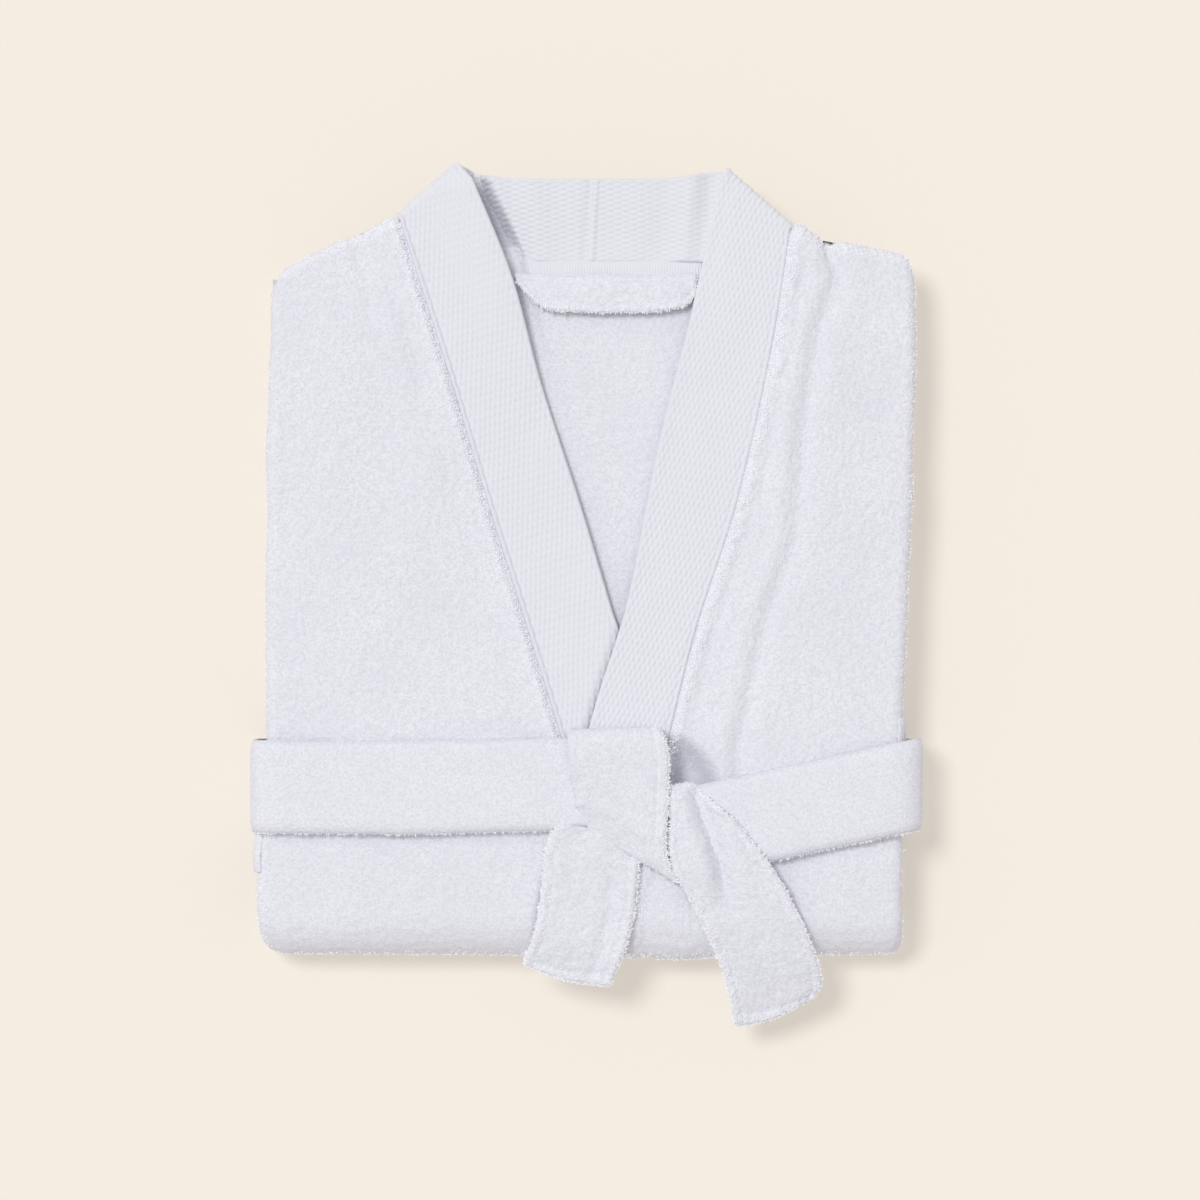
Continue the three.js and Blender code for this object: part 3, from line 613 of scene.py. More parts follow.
def cotton_pique(settings):
    """Honeycomb-weave cotton pique, bleached white: flat and matte, with a fine thread grain on its ridges."""
    material, tree, shader = new_material("cotton_honeycomb_pique_white", {
        "Base Color": linear(settings.pique_colour), "Roughness": 0.92, "Specular IOR Level": 0.2,
        "Sheen Weight": 0.06, "Sheen Roughness": 0.5})
    cloth = add(tree, "ShaderNodeUVMap", uv_map="cloth").outputs["UV"]
    # Real threads are about half as far apart. They are drawn this coarse so that they show.
    threads = add(tree, "ShaderNodeTexWave", {"Vector": cloth, "Scale": bands(0.952), "Distortion": 1.5,
                  "Detail": 2.0, "Detail Scale": 3.0}, wave_type="BANDS", bands_direction="X")
    weft = add(tree, "ShaderNodeTexWave", {"Vector": cloth, "Scale": bands(1.0833), "Distortion": 1.5,
               "Detail": 2.0, "Detail Scale": 3.0}, wave_type="BANDS", bands_direction="Y")
    height = add(tree, "ShaderNodeMath", {0: threads.outputs["Fac"], 1: weft.outputs["Fac"]}, operation="ADD")
    relief = add(tree, "ShaderNodeBump", {"Height": height.outputs[0], "Strength": 0.25, "Distance": 0.12 * MM})
    tree.links.new(relief.outputs["Normal"], shader.inputs["Normal"])
    return material


def cotton_tape(settings):
    """Narrow woven cotton tape, bleached white, with fine ribs across it."""
    material, tree, shader = new_material("cotton_ribbed_tape_white", {
        "Base Color": linear(settings.pique_colour), "Roughness": 0.85, "Specular IOR Level": 0.2})
    cloth = add(tree, "ShaderNodeUVMap", uv_map="cloth").outputs["UV"]
    grain = add(tree, "ShaderNodeTexNoise", {"Vector": cloth, "Scale": grains(1.1111), "Detail": 2.0})
    relief = add(tree, "ShaderNodeBump", {"Height": grain.outputs["Fac"], "Strength": 0.2, "Distance": 0.1 * MM})
    tree.links.new(relief.outputs["Normal"], shader.inputs["Normal"])
    return material


def sewing_thread(settings):
    """Spun polyester sewing thread, white, with a slight gloss."""
    material, tree, shader = new_material("polyester_sewing_thread_white", {
        "Base Color": linear(settings.thread_colour), "Roughness": 0.6, "Specular IOR Level": 0.35})
    place = add(tree, "ShaderNodeTexCoord").outputs["Object"]
    grain = add(tree, "ShaderNodeTexNoise", {"Vector": place, "Scale": grains(0.3333), "Detail": 1.0})
    relief = add(tree, "ShaderNodeBump", {"Height": grain.outputs["Fac"], "Strength": 0.2, "Distance": 0.05 * MM})
    tree.links.new(relief.outputs["Normal"], shader.inputs["Normal"])
    return material


def painted_floor(settings):
    """A seamless cream studio floor, dead matte, with a little light of its own so that shadows stay pale."""
    colour, glow = linear(settings.floor_colour), settings.floor_glow
    material, _, _ = new_material("studio_floor_cream_matte", {
        "Base Color": [c * (1 - glow) for c in colour[:3]] + [1.0], "Emission Color": colour,
        "Emission Strength": glow, "Roughness": 1.0, "Specular IOR Level": 0.0})
    return material


MAKERS = {"terry": cotton_terry, "yarn": cotton_yarn, "pique": cotton_pique, "tape": cotton_tape,
          "thread": sewing_thread}
MADE = {}


def material_for(kind):
    """The material of a kind, made once."""
    if kind not in MADE:
        MADE[kind] = MAKERS[kind](bpy.context.scene.robe_cloth)
    return MADE[kind]


# ---- The robe's cloth -------------------------------------------------------------------------------

SHOULDER_LEFT = [[-179, 172], [-176, 176.5], [-171, 181], [-163, 186.2], [-138, 198.9], [-123, 204.4],
                 [-106, 211]]
SHOULDER_RIGHT = [[114, 206.5], [119, 205], [126, 201.0], [134.7, 197.6], [146, 197], [164.5, 193.2],
                  [176, 191], [181, 187.5], [184, 182]]


def shoulder_y(x):
    """Y of the shoulder's edge."""
    line = np.array(SHOULDER_LEFT + SHOULDER_RIGHT, float)
    return np.interp(x, line[:, 0], line[:, 1]) + 0.5 * noise(x, x * 0, 19.0, 41)


def half_width(side, s):
    """How far the side fold lies from the middle, by side and by distance along the cloth."""
    if side < 0:
        stops = [78, 86, 97, 133, 340, 405, S_FOLD, S_UNDER + 30, S_HEM]
        widths = [171, 174.5, 177, 179.2, 179.5, 185.0, 184, 178, 178]
    else:
        stops = [66, 72, 83, 178, 234, 276, 318, 400, S_FOLD, S_UNDER + 30, S_HEM]
        widths = [178.5, 182, 185, 184, 181.7, 180, 178, 177.6, 178.6, 178, 178]
    return np.interp(s, stops, widths)


def side_roll(s):
    """Radius of a side fold's outer face."""
    return BUNDLE_TOP / 2 + (BUNDLE_UNDER - BUNDLE_TOP) / 2 * smoothstep(S_FOLD, S_UNDER, s)


def front_panel(name, side, seam, seam_top, fine, under=None, relief=None):
    """One front: from its collar seam across to the side, round the side fold and under as a flap."""
    edge_turn, top_width, top_length = 5.0, 190, 396
    angles = np.linspace(0, 180, 15)[1:]
    flap = np.linspace(0, SIDE_FLAP, 6)[1:]
    count = int(math.ceil((top_width / fine + len(angles) + len(flap)) / 4)) * 4 + 1
    across = np.linspace(0, 1, count - len(angles) - len(flap))
    kind = np.concatenate([across, 1 + np.arange(len(angles)), 1 + len(angles) + np.arange(len(flap))])
    is_flat = np.arange(count) < len(across)
    theta = np.concatenate([across * 0, np.radians(angles), np.full(len(flap), math.pi)])
    inward = np.concatenate([across * 0, angles * 0, flap])
    fraction = np.where(is_flat, kind, 1.0)

    top_s = np.full(count, 50.0)
    for _ in range(3):
        tangent = side * (half_width(side, top_s) - side_roll(top_s))
        x = seam_top + fraction * (tangent - seam_top)
        x = x + side * ((side_roll(top_s) - PLY / 2) * np.sin(theta) - inward)
        top_s = ROUTE_TOP_Y - shoulder_y(x)
    top_y = ROUTE_TOP_Y - top_s

    upper = spread([(0, 8, 1.0), (8, top_length, fine)], 1) / top_length
    lower = spread([(S_FOLD, S_UNDER, 1.8), (S_UNDER, S_TURN, 4), (S_TURN, S_THIRD, 3),
                    (S_THIRD, S_HEM, 12)], 1)[1:]
    spare = -(len(upper) + len(lower) - 1) % 4
    upper = np.linspace(0, 1, len(upper) + spare)
    whole = edge_turn * math.pi / 2 + top_y - edge_turn - FOLD_Y
    run = upper[:, None] * whole[None, :]
    psi = np.clip(run / edge_turn, 0, math.pi / 2)
    y = top_y - edge_turn * (1 - np.cos(psi)) - np.maximum(0, run - edge_turn * math.pi / 2)
    s = np.vstack([ROUTE_TOP_Y - y, np.repeat(lower[:, None], count, 1)])
    lift = np.vstack([1 - np.sin(psi), np.zeros((len(lower), count))])

    roll = side_roll(s)
    tangent = side * (half_width(side, s) - roll)
    start = side * np.minimum(side * seam(s), side * seam_top)
    start = np.where(s < ROUTE_TOP_Y - 205, start, seam(s))
    x = start + fraction * (tangent - start) + side * ((roll - PLY / 2) * np.sin(theta) - inward)
    flat_u = start + fraction * (tangent - start) + side * ((roll - PLY / 2) * theta + inward)
    depth = roll - (roll - PLY / 2) * np.cos(theta) + 0 * s
    depth = np.where(theta > 3.1, 2 * roll - PLY / 2, depth)
    if under is not None:
        depth = depth + np.where(is_flat[None, :], under(x, s), 0)
    depth = depth + (roll - depth) * lift
    mid = folded(x, s, depth)
    uv = np.stack([flat_u, -s], -1)
    from_seam = np.abs(x - start)
    height = terry(flat_u, s) + 0.8 * noise(flat_u, s, 46.0, 51) + 0.25 * noise(flat_u, s, 21.0, 52)
    if relief is not None:
        height = np.maximum(height + relief(x, s, from_seam), -2.7)
    turn = -1 if side > 0 else 1
    return shell(name, mid, PLY, height, uv, turn)


def left_front_relief(x, s, from_seam):
    """The fuzzy ditch beside the collar seam, the lip beyond it and the soft folds of the left front."""
    lumps = np.clip(0.5 + 0.75 * noise(x, s, 2.6, 61), 0, 1)
    ditch = -(0.9 + 2.0 * lumps) * bump(0.9, 1.5, from_seam)
    lip = (0.8 + 0.9 * (1 - lumps)) * bump(4.3, 2.0, from_seam) + 0.7 * bump(9.5, 4.5, from_seam)
    lip = lip - 0.5 * bump(16, 5, from_seam)
    y = ROUTE_TOP_Y - s
    shoulder = smoothstep(120, 190, y)
    valley = -1.5 * bump(-128.5 + 0.2 * (198 - y), 5.5, x) * shoulder
    ridge = 1.1 * bump(-114 + 0.15 * (198 - y), 9, x) * smoothstep(60, 150, y)
    soft = -0.9 * bump(-120, 22, x) * smoothstep(-60, 40, y) * smoothstep(150, 60, y)
    fall = 0.9 * bump(-92 + 0.25 * (y - 60), 14, x) * smoothstep(-40, 40, y)
    return ditch + lip + (valley + ridge + soft + fall) * (s < S_FOLD)


def right_front_relief(x, s, from_seam):
    """The lumpy terry beside the right collar seam, and the long soft fold below the right shoulder."""
    lumps = noise(x, s, 3.6, 62)
    seam_lip = (0.9 + 0.8 * lumps) * bump(5.0, 3.6, from_seam) - 1.0 * bump(0.5, 1.2, from_seam)
    seam_lip = seam_lip - 0.7 * bump(11.5, 2.8, from_seam) * (0.6 + 0.5 * noise(x, s, 9.0, 65))
    line = np.array([[260, 133], [197, 134], [186, 137], [178, 140], [150, 129], [100, 121], [32, 116],
                     [-12, 100], [-84, 84], [-260, 80]])
    y = ROUTE_TOP_Y - s
    middle = np.interp(-y, -line[:, 0], line[:, 1])
    away = x - middle
    strength = smoothstep(-150, -70, y) * (0.8 + 0.3 * noise(y, y * 0, 60.0, 63))
    fold = 1.9 * bump(-9, 7, away) - 2.0 * bump(1.5, 5.0, away) + 0.6 * bump(15, 9, away)
    notch = -2.0 * bump(1, 3.0, away) * smoothstep(176, 194, y)
    lower = 1.0 * noise(x, s, 26.0, 64) * smoothstep(60, -60, y) * bump(95, 45, x)
    return seam_lip + (fold * strength + notch + lower) * (s < S_FOLD)


def fronts(settings):
    """Both fronts of the robe."""
    left = front_panel("cloth_left_front", -1, left_outer, -104.6, settings.grid, under_right, left_front_relief)
    right = front_panel("cloth_right_front", 1, right_outer, 114.2, settings.grid, None, right_front_relief)
    for piece, node, turn, seed in ((left, "left_front_panel", 1, 201), (right, "right_front_panel", -1, 211)):
        finish_piece(piece, "terry", node)
        grid, uv = SURFACES[piece.name]
        from_seam = np.abs(uv[..., 0] - uv[:, :1, 0])
        on_top = (uv[..., 1] > -S_FOLD) * smoothstep(40, 60, grid[..., 2] + 16)
        lip = 0.8 * bump(3.0, 2.4, from_seam) * on_top
        side_fold = 0.16 * smoothstep(175, 180, np.abs(grid[..., 0])) * (grid[..., 2] > 14)
        from_top = grid[:1, :, 1] - grid[..., 1]
        shoulder = 0.3 * smoothstep(7, 2, from_top) * (grid[..., 2] > 38)
        bottom = 0.14 * smoothstep(-198, -202, grid[..., 1])
        loops = pile_on(piece.name, turn, lip + side_fold + shoulder + bottom, 1.15, seed)
        add_yarn(piece.name + "_loops", "yarn", [loops])


def back(settings):
    """The back panel, seen in the V of the neck."""
    x = spread([(-172, -72, 12), (-72, 82, settings.grid), (82, 172, 12)], 4)
    s = spread([(ROUTE_TOP_Y - 196, ROUTE_TOP_Y + 16, settings.grid), (ROUTE_TOP_Y + 16, S_FOLD, 12),
                (S_FOLD, S_UNDER, 4), (S_UNDER, S_TURN, 14), (S_TURN, S_THIRD, 3), (S_THIRD, S_HEM, 14)], 4)
    gx, gs = np.meshgrid(x, s)
    gx = gx * np.interp(gs, [60, 80, 120], [0.9, 0.96, 1.0])
    gs = gs + np.maximum(0, 200 - shoulder_y(gx)) * smoothstep(110, 64, gs)
    depth = 2 * PITCH + PLY / 2 + 0 * gx
    y = ROUTE_TOP_Y - gs
    mid = folded(gx, gs, depth + beside_left_band(gx, y, 2.5))
    hollow = -1.0 * smoothstep(60, 0, np.abs(gx - 8)) * smoothstep(150, 60, y) * smoothstep(-10, 40, y)
    height = terry(gx, gs, 0.36) + (0.5 * noise(gx, gs, 30.0, 71) + hollow) * (gs < S_FOLD)
    piece = shell("cloth_back", mid, PLY, height, np.stack([gx, -gs], -1), -1)
    finish_piece(piece, "terry", "back_panel")


def sleeves():
    """The sleeves, folded behind the back and then back on themselves, with their cuffs."""
    low, high = SLEEVE_LOW, SLEEVE_HIGH
    radius = (high - low) / 4
    fold_y, end_y, columns = -180.0, 11, 65
    for side, word in ((-1, "left"), (1, "right")):
        inner, outer = 3.5 * side, 175.5 * side
        path = [(y, high - radius) for y in np.linspace(178, fold_y, 70)]
        path += [(fold_y - radius * math.sin(a), low + 2 * radius + radius * math.cos(a))
                 for a in np.linspace(0, math.pi, 10)[1:-1]]
        path += [(y, low + radius) for y in np.linspace(fold_y, end_y, 43)]
        path = np.array(path[:-((len(path) - 1) % 4)] if (len(path) - 1) % 4 else path)
        across = np.linspace(0, 1, columns)
        wobble = 1.5 * noise(path[:, 0], path[:, 1] * 3, 50.0, 72 + side)
        x = inner + across[None, :] * (outer + wobble[:, None] * side - inner)
        mid = np.stack([x, np.repeat(path[:, :1], columns, 1), np.repeat(path[:, 1:], columns, 1)], -1)
        along = np.arange(len(path))[:, None] * 5.2 + 0 * x
        height = 0.3 * noise(x, along, 12.0, 74) - 0.2
        piece = shell("cloth_" + word + "_sleeve", mid, 2 * radius - 0.2, height, np.stack([x, along], -1),
                      -1 if side > 0 else 1, edge=3.0)
        finish_piece(piece, "terry", word + "_sleeve")
        y = np.linspace(end_y, end_y + 75, 45)
        x = inner + np.linspace(0.0, 1.008, columns)[None, :] * (outer - inner) + 0 * y[:, None]
        gy = np.repeat(y[:, None], columns, 1)
        mid = np.stack([x, gy, np.full_like(x, low + radius)], -1)
        height = honeycomb(x, gy) - 0.1
        cuff = shell("cloth_" + word + "_cuff", mid, 2 * radius - 0.1, height, np.stack([x, gy], -1),
                     1 if side > 0 else -1, edge=3.0)
        finish_piece(cuff, "pique", word + "_cuff")


def pockets():
    """Two patch pockets on the skirt, on the stack's underside."""
    for word in ("left", "right"):
        low, high = box_mm(word + "_pocket")
        x = spread([(low[0], high[0], 2.5)], 4)
        y = spread([(low[1], high[1], 2.5)], 4)
        gx, gy = np.meshgrid(x, y)
        mid = np.stack([gx, gy, np.full_like(gx, (low[2] + high[2]) / 2 + 0.1)], -1)
        hem = stitched_groove(gy - (high[1] - 22), gx, 0.5)
        piece = shell("cloth_" + word + "_pocket", mid, high[2] - low[2] - 0.9, terry(gx, gy, 0.3) + hem,
                      np.stack([gx, gy], -1), -1, settled=False)
        finish_piece(piece, "terry", word + "_pocket")


# ---- The collar -------------------------------------------------------------------------------------

LEFT_SEAM_TIP, LEFT_TIP = (-104.4, 210.6), (-70.8, 241.6)
RIGHT_SEAM_TIP, RIGHT_TIP = (114.0, 205.4), (76.4, 237.8)
BAND_SEAM_Y, BAND_TOP_Y, BACK_CENTRE_X = 187.3, 233.8, 2.5


def collar_band(name, side, inner_edge, outer_edge, seam_tip, tip, settings, under, lean_degrees):
    """A honeycomb band: up the front edge, folded over at the collar's tip, and on to the centre of the back."""
    rows_up = spread([(0, 1, settings.weave_grid / 425)], 1)
    along = FOLD_Y + (1 - rows_up)[:, None] * (np.array([seam_tip[1], tip[1]]) - FOLD_Y)[None, :]
    seam_s, free_s = ROUTE_TOP_Y - along[:, 0], ROUTE_TOP_Y - along[:, 1]
    columns = int(math.ceil(BAND_WIDTH / settings.weave_grid / 4)) * 4 + 1
    f = np.linspace(0, 1, columns)[None, :]

    def edge_to_tip(edge, s, point):
        start, end = ROUTE_TOP_Y - point[1], ROUTE_TOP_Y - point[1] + 8
        near_tip = np.interp(s, [start, end], [point[0], float(edge(np.array(end)))])
        return np.where(s < end, near_tip, edge(s))

    seam_x, free_x = edge_to_tip(outer_edge, seam_s, seam_tip), edge_to_tip(inner_edge, free_s, tip)
    x_top = seam_x[:, None] * (1 - f) + free_x[:, None] * f
    s_top = seam_s[:, None] * (1 - f) + free_s[:, None] * f
    lower = spread([(S_FOLD, S_UNDER, 1.6), (S_UNDER, S_TURN, 5), (S_TURN, S_THIRD, 3),
                    (S_THIRD, S_HEM, 14)], 1)[1:]
    s_low = np.repeat(lower[:, None], columns, 1)
    x_low = outer_edge(s_low) * (1 - f) + inner_edge(s_low) * f
    x, s = np.vstack([x_top, x_low]), np.vstack([s_top, s_low])
    depth = PLY / 2 + (under(x, s) if under is not None else 0 * x)
    across = np.repeat(f, len(x), 0)
    if side < 0:
        depth = depth - 7.5 * smoothstep(0.35, 1.0, across) * smoothstep(150, 40, s) * smoothstep(14, 34, s)
    else:
        depth = depth + 1.2 * smoothstep(0.7, 1.0, across) * smoothstep(110, 50, s) * smoothstep(20, 36, s)
    front = folded(x, s, depth)

    # The fold at the tip, about the line from the seam to the tip, and the half behind the neck.
    a, b = np.array(seam_tip), np.array(tip)
    line = a[None, :] * (1 - f.T) + b[None, :] * f.T
    out = np.array([b[1] - a[1], -(b[0] - a[0])]) / np.linalg.norm(b - a)
    if out[1] < 0:
        out = -out
    radius = PITCH / 2 + 0.25
    centre_z = STACK - PLY / 2 - radius
    turned = []
    for angle in np.linspace(math.pi, 0, 9)[1:-1]:
        push = radius * math.sin(angle)
        turned.append(np.stack([line[:, 0] + out[0] * push, line[:, 1] + out[1] * push,
                                np.full(columns, centre_z - radius * math.cos(angle))], -1))
    turned = np.array(turned[::-1]).reshape(-1, columns, 3)
    behind_z = STACK - PLY / 2 - 2 * radius
    stations = [np.stack([a, b]),
                np.array([[a[0] - side * 9, 197.0], [b[0] - side * 12, 237.0]]),
                np.array([[a[0] - side * 22, 189.0], [b[0] - side * 25, 234.6]]),
                np.array([[a[0] - side * 46, BAND_SEAM_Y], [b[0] - side * 42, BAND_TOP_Y]]),
                np.array([[a[0] - side * 75, BAND_SEAM_Y], [b[0] - side * 60, BAND_TOP_Y]]),
                np.array([[BACK_CENTRE_X - 1.7 - side * 0.5, BAND_SEAM_Y],
                          [BACK_CENTRE_X + 1.5 - side * 0.3, BAND_TOP_Y]])]
    count = int(110 / settings.weave_grid / 4) * 4 + 1
    seam_line = spline([p[0] for p in stations], count)
    free_line = spline([p[1] for p in stations], count)
    behind_xy = seam_line[:, None, :] * (1 - f.T[None]) + free_line[:, None, :] * f.T[None]
    bx, by = behind_xy[..., 0], behind_xy[..., 1]
    rise = 4.0 * smoothstep(188, 234, by)
    if side < 0:
        hollow = beside_left_band(bx, by, 14.0) * smoothstep(-72, -64, bx) * (0.3 + 0.7 * smoothstep(186, 204, by))
        level = rise * smoothstep(-70, -40, bx) - hollow
    else:
        level = rise * smoothstep(76, 50, bx) + 2.0 * smoothstep(34, 70, bx) * smoothstep(100, 84, bx)
    behind = np.concatenate([behind_xy, (behind_z + level)[..., None]], -1)

    line_uv = np.repeat(line[None], len(turned), 0)
    u = np.concatenate([line_uv[..., 0], x], 0)
    v = np.concatenate([ROUTE_TOP_Y - line_uv[..., 1], s], 0)
    mid = np.concatenate([turned, front], 0)
    rows = (mid.shape[0] - 1) // 4 * 4 + 1
    mid, u, v = mid[:rows], u[:rows], v[:rows]
    across = np.repeat(f, rows, 0) * BAND_WIDTH
    from_free = BAND_WIDTH - across
    if side < 0:
        seam_detail = 1.1 * bump(1.5, 1.1, across) - 0.9 * bump(3.4, 0.7, across)
        free_detail = stitched_groove(from_free - 2.6, v, 0.55, 0.6, 4.0)
    else:
        seam_detail = stitched_groove(across - 2.8, v, 0.8, 0.6, 3.0)
        free_detail = 0.4 * bump(2.0, 3.0, from_free)
    quiet = smoothstep(0.0, 3.0, across) * smoothstep(0.0, 2.2, from_free)
    soft = 0.55 * noise(u, v, 34.0, 81 + side) + 0.3 * noise(u, v, 15.0, 83 + side)
    height = honeycomb(u, -v, lean_degrees) * quiet + seam_detail + free_detail + soft
    facing = 1 if side > 0 else -1
    outside = shell_data(name, mid, PLY, height, np.stack([u, -v], -1), facing)

    bu, bv = behind[..., 1], behind[..., 0]
    if side < 0:
        slant = bv + 0.16 * (bu - 210)
        folds = 1.5 * bump(-50, 4.5, slant) - 1.3 * bump(-39, 4.5, slant) + 0.7 * bump(-28, 6, slant)
        folds = folds - 0.5 * bump(-14, 7, slant)
    else:
        slant = bv - 0.1 * (bu - 210)
        folds = 1.2 * bump(57, 4.5, slant) - 1.1 * bump(67, 4.5, slant) - 0.6 * bump(44, 6, slant)
        folds = folds + 0.5 * bump(28, 8, slant)
    across = np.repeat(f, len(behind), 0) * BAND_WIDTH
    from_free = BAND_WIDTH - across
    quiet = smoothstep(0.0, 2.0, across) * smoothstep(0.0, 2.2, from_free)
    seam = np.abs(bv - (BACK_CENTRE_X - 1.7 + 3.2 * (bu - BAND_SEAM_Y) / 46))
    centre = 0.9 * bump(2.0, 1.3, seam) if side > 0 else -1.0 * bump(1.5, 2.6, seam)
    height = honeycomb(bu, bv) * quiet + folds + centre + 0.4 * noise(bu, bv, 28.0, 86)
    height = height + 0.3 * bump(1.0, 1.2, from_free)
    inside = shell_data(name + "_behind", behind, PLY, height, np.stack([bu, bv], -1), facing)
    return make_mesh(name, outside, inside)


def collar(settings):
    """Both collar bands and the ribbed tape over the neck seam."""
    left = collar_band("cloth_left_band", -1, left_inner, left_outer, LEFT_SEAM_TIP, LEFT_TIP, settings,
                       under_right, -17.0)
    right = collar_band("cloth_right_band", 1, right_inner, right_outer, RIGHT_SEAM_TIP, RIGHT_TIP, settings,
                        None, 13.0)
    for piece, word in ((left, "left"), (right, "right")):
        finish_piece(piece, "pique", word + "_collar_band")
    x = spread([(TAPE_LOW[0], TAPE_HIGH[0], 0.36)], 4)
    y = spread([(TAPE_LOW[1] - 0.8, TAPE_HIGH[1] + 1.2, 0.8)], 4)
    gx, gy = np.meshgrid(x, y)
    lie = 0.5 * noise(gx, gy, 22.0, 91) + 0.3 * noise(gx, gy, 9.0, 92)
    mid = np.stack([gx, gy + 0.4 * noise(gx, gx * 0, 30.0, 93), TAPE_LOW[2] + 1.5 + lie
                    - beside_left_band(gx, gy, 3.5)], -1)
    ribs = 0.3 * np.cos(2 * math.pi * gx / 1.6) * smoothstep(0.8, 2.2, np.abs(gy - TAPE_HIGH[1] + 1.2))
    seam = stitched_groove(gy - TAPE_HIGH[1] + 1.2, gx, 0.3, 0.4, 2.4)
    tape = shell("woven_neck_tape", mid, 1.2, ribs + seam, np.stack([gx, gy], -1), 1)
    finish_piece(tape, "tape", "neck_tape")


def hanger_loop():
    """The terry loop under the neck tape, sewn down at both ends."""
    x = spread([(-39.5, 61.5, 0.8)], 4)
    f = spread([(0, 1, 0.045)], 4)
    low = np.interp(x, [-39.5, -36, -30, -25, -20, 5, 30, 45, 55, 59.5, 61.5],
                    [176.5, 172, 165.5, 161.6, 159.9, 158.6, 158.6, 159.9, 162.2, 166, 171])
    low = low + 0.5 * noise(x, x * 0, 13.0, 95)
    top = 180.6 + 0.4 * noise(x, x * 0, 12.0, 94)
    gx = np.repeat(x[None, :], len(f), 0)
    gy = top[None, :] * (1 - f[:, None]) + low[None, :] * f[:, None]
    free = smoothstep(-34, -14, gx) * smoothstep(62, 50, gx)
    rise = smoothstep(179.5, 170, gy) * (0.45 + 0.55 * free)
    z = TAPE_HIGH[2] + 1.6 + 3.6 * rise + 0.4 * noise(gx, gy, 20.0, 96)
    z = z - 0.8 * bump(0.55, 0.2, f)[:, None] * bump(18, 45, gx) + 0.9 * bump(0.88, 0.12, f)[:, None] * free
    height = terry(gx, gy, 0.6) - 0.8 * bump(gy * 0, 0.9, gy - low[None, :] - 4.6)
    height = height - 0.5 * bump(175.6, 0.9, gy)
    name = "cloth_hanger_loop"
    piece = shell(name, np.stack([gx, gy, z], -1), 2.8, height, np.stack([gx, gy], -1), -1)
    hinge = ((17, 180.5, 47), (17, 174.0, 47))
    finish_piece(piece, "terry", "hanger_loop", "hanger_loop", hinge)
    loops = pile_on(name, -1, 0.4 * bump(2, 2.5, gy - low[None, :]), 1.1, 221)
    lower = fringe_on(name, -1, [1, 2, 3], 0.7, 1.4, 223)
    add_yarn(name + "_loops", "yarn", [loops, lower], "hanger_loop", hinge)
    seam = stitch_column(name, -1, 4.6, axis=0, pitch=2.8, length=1.9)
    add_yarn("thread_hanger_loop", "thread", [seam], "hanger_loop", hinge)


def belt_loops():
    """The two narrow loops on the side folds that the belt passes through."""
    for word, side in (("left", -1), ("right", 1)):
        low, high = box_mm(word + "_belt_loop")
        y = spread([(low[1] + (34 if side > 0 else 0), high[1] + (4 if side > 0 else 0), 1.2)], 4)
        angle = np.radians(spread([(62, -40, 7)], 4))
        ga, gy = np.meshgrid(angle, y)
        reach = half_width(side, ROUTE_TOP_Y - gy)
        roll = BUNDLE_TOP / 2 + 0.9
        x = side * (reach - BUNDLE_TOP / 2 + roll * np.cos(ga))
        z = STACK - BUNDLE_TOP / 2 + roll * np.sin(ga) - 0.6
        mid = np.stack([x, gy, z], -1)
        piece = shell("cloth_" + word + "_belt_loop", mid, 1.5, terry(gy, ga * 7, 0.25),
                      np.stack([gy, ga * 7], -1), 1 if side > 0 else -1)
        finish_piece(piece, "terry", word + "_belt_loop")


# ---- The belt ---------------------------------------------------------------------------------------

def ribbon(stations, along, across, bulge=0.0):
    """A grid of points between two edges, each a smooth line through its stations.

    stations holds (left point, right point) pairs. along gives the rows' distances along the middle.
    """
    fine = smooth_line([left + right for left, right in stations], 30)
    centre = (fine[:, :3] + fine[:, 3:]) / 2
    length = distances(centre)
    at = along(length[-1])
    rows = values_at(at, length, fine)
    f = across[None, :, None]
    grid = rows[:, None, :3] * (1 - f) + rows[:, None, 3:] * f
    if bulge:
        heading = centre[-1] - centre[-12]
        heading = heading / np.linalg.norm(heading)
        amount = bulge * np.outer(smoothstep(length[-1] - 25, length[-1], at), 1 - (2 * across - 1) ** 2)
        grid = grid + amount[..., None] * heading
    return grid, at


BELT_MIDDLE = BELT_HIGH - BELT_PLY / 2
BELT_SIDE = BELT_REACH - 1.2


def evenly(settings, length):
    """Distances along a strip of cloth, a terry grid's step apart."""
    return spread([(0, length, settings.grid)], 4)


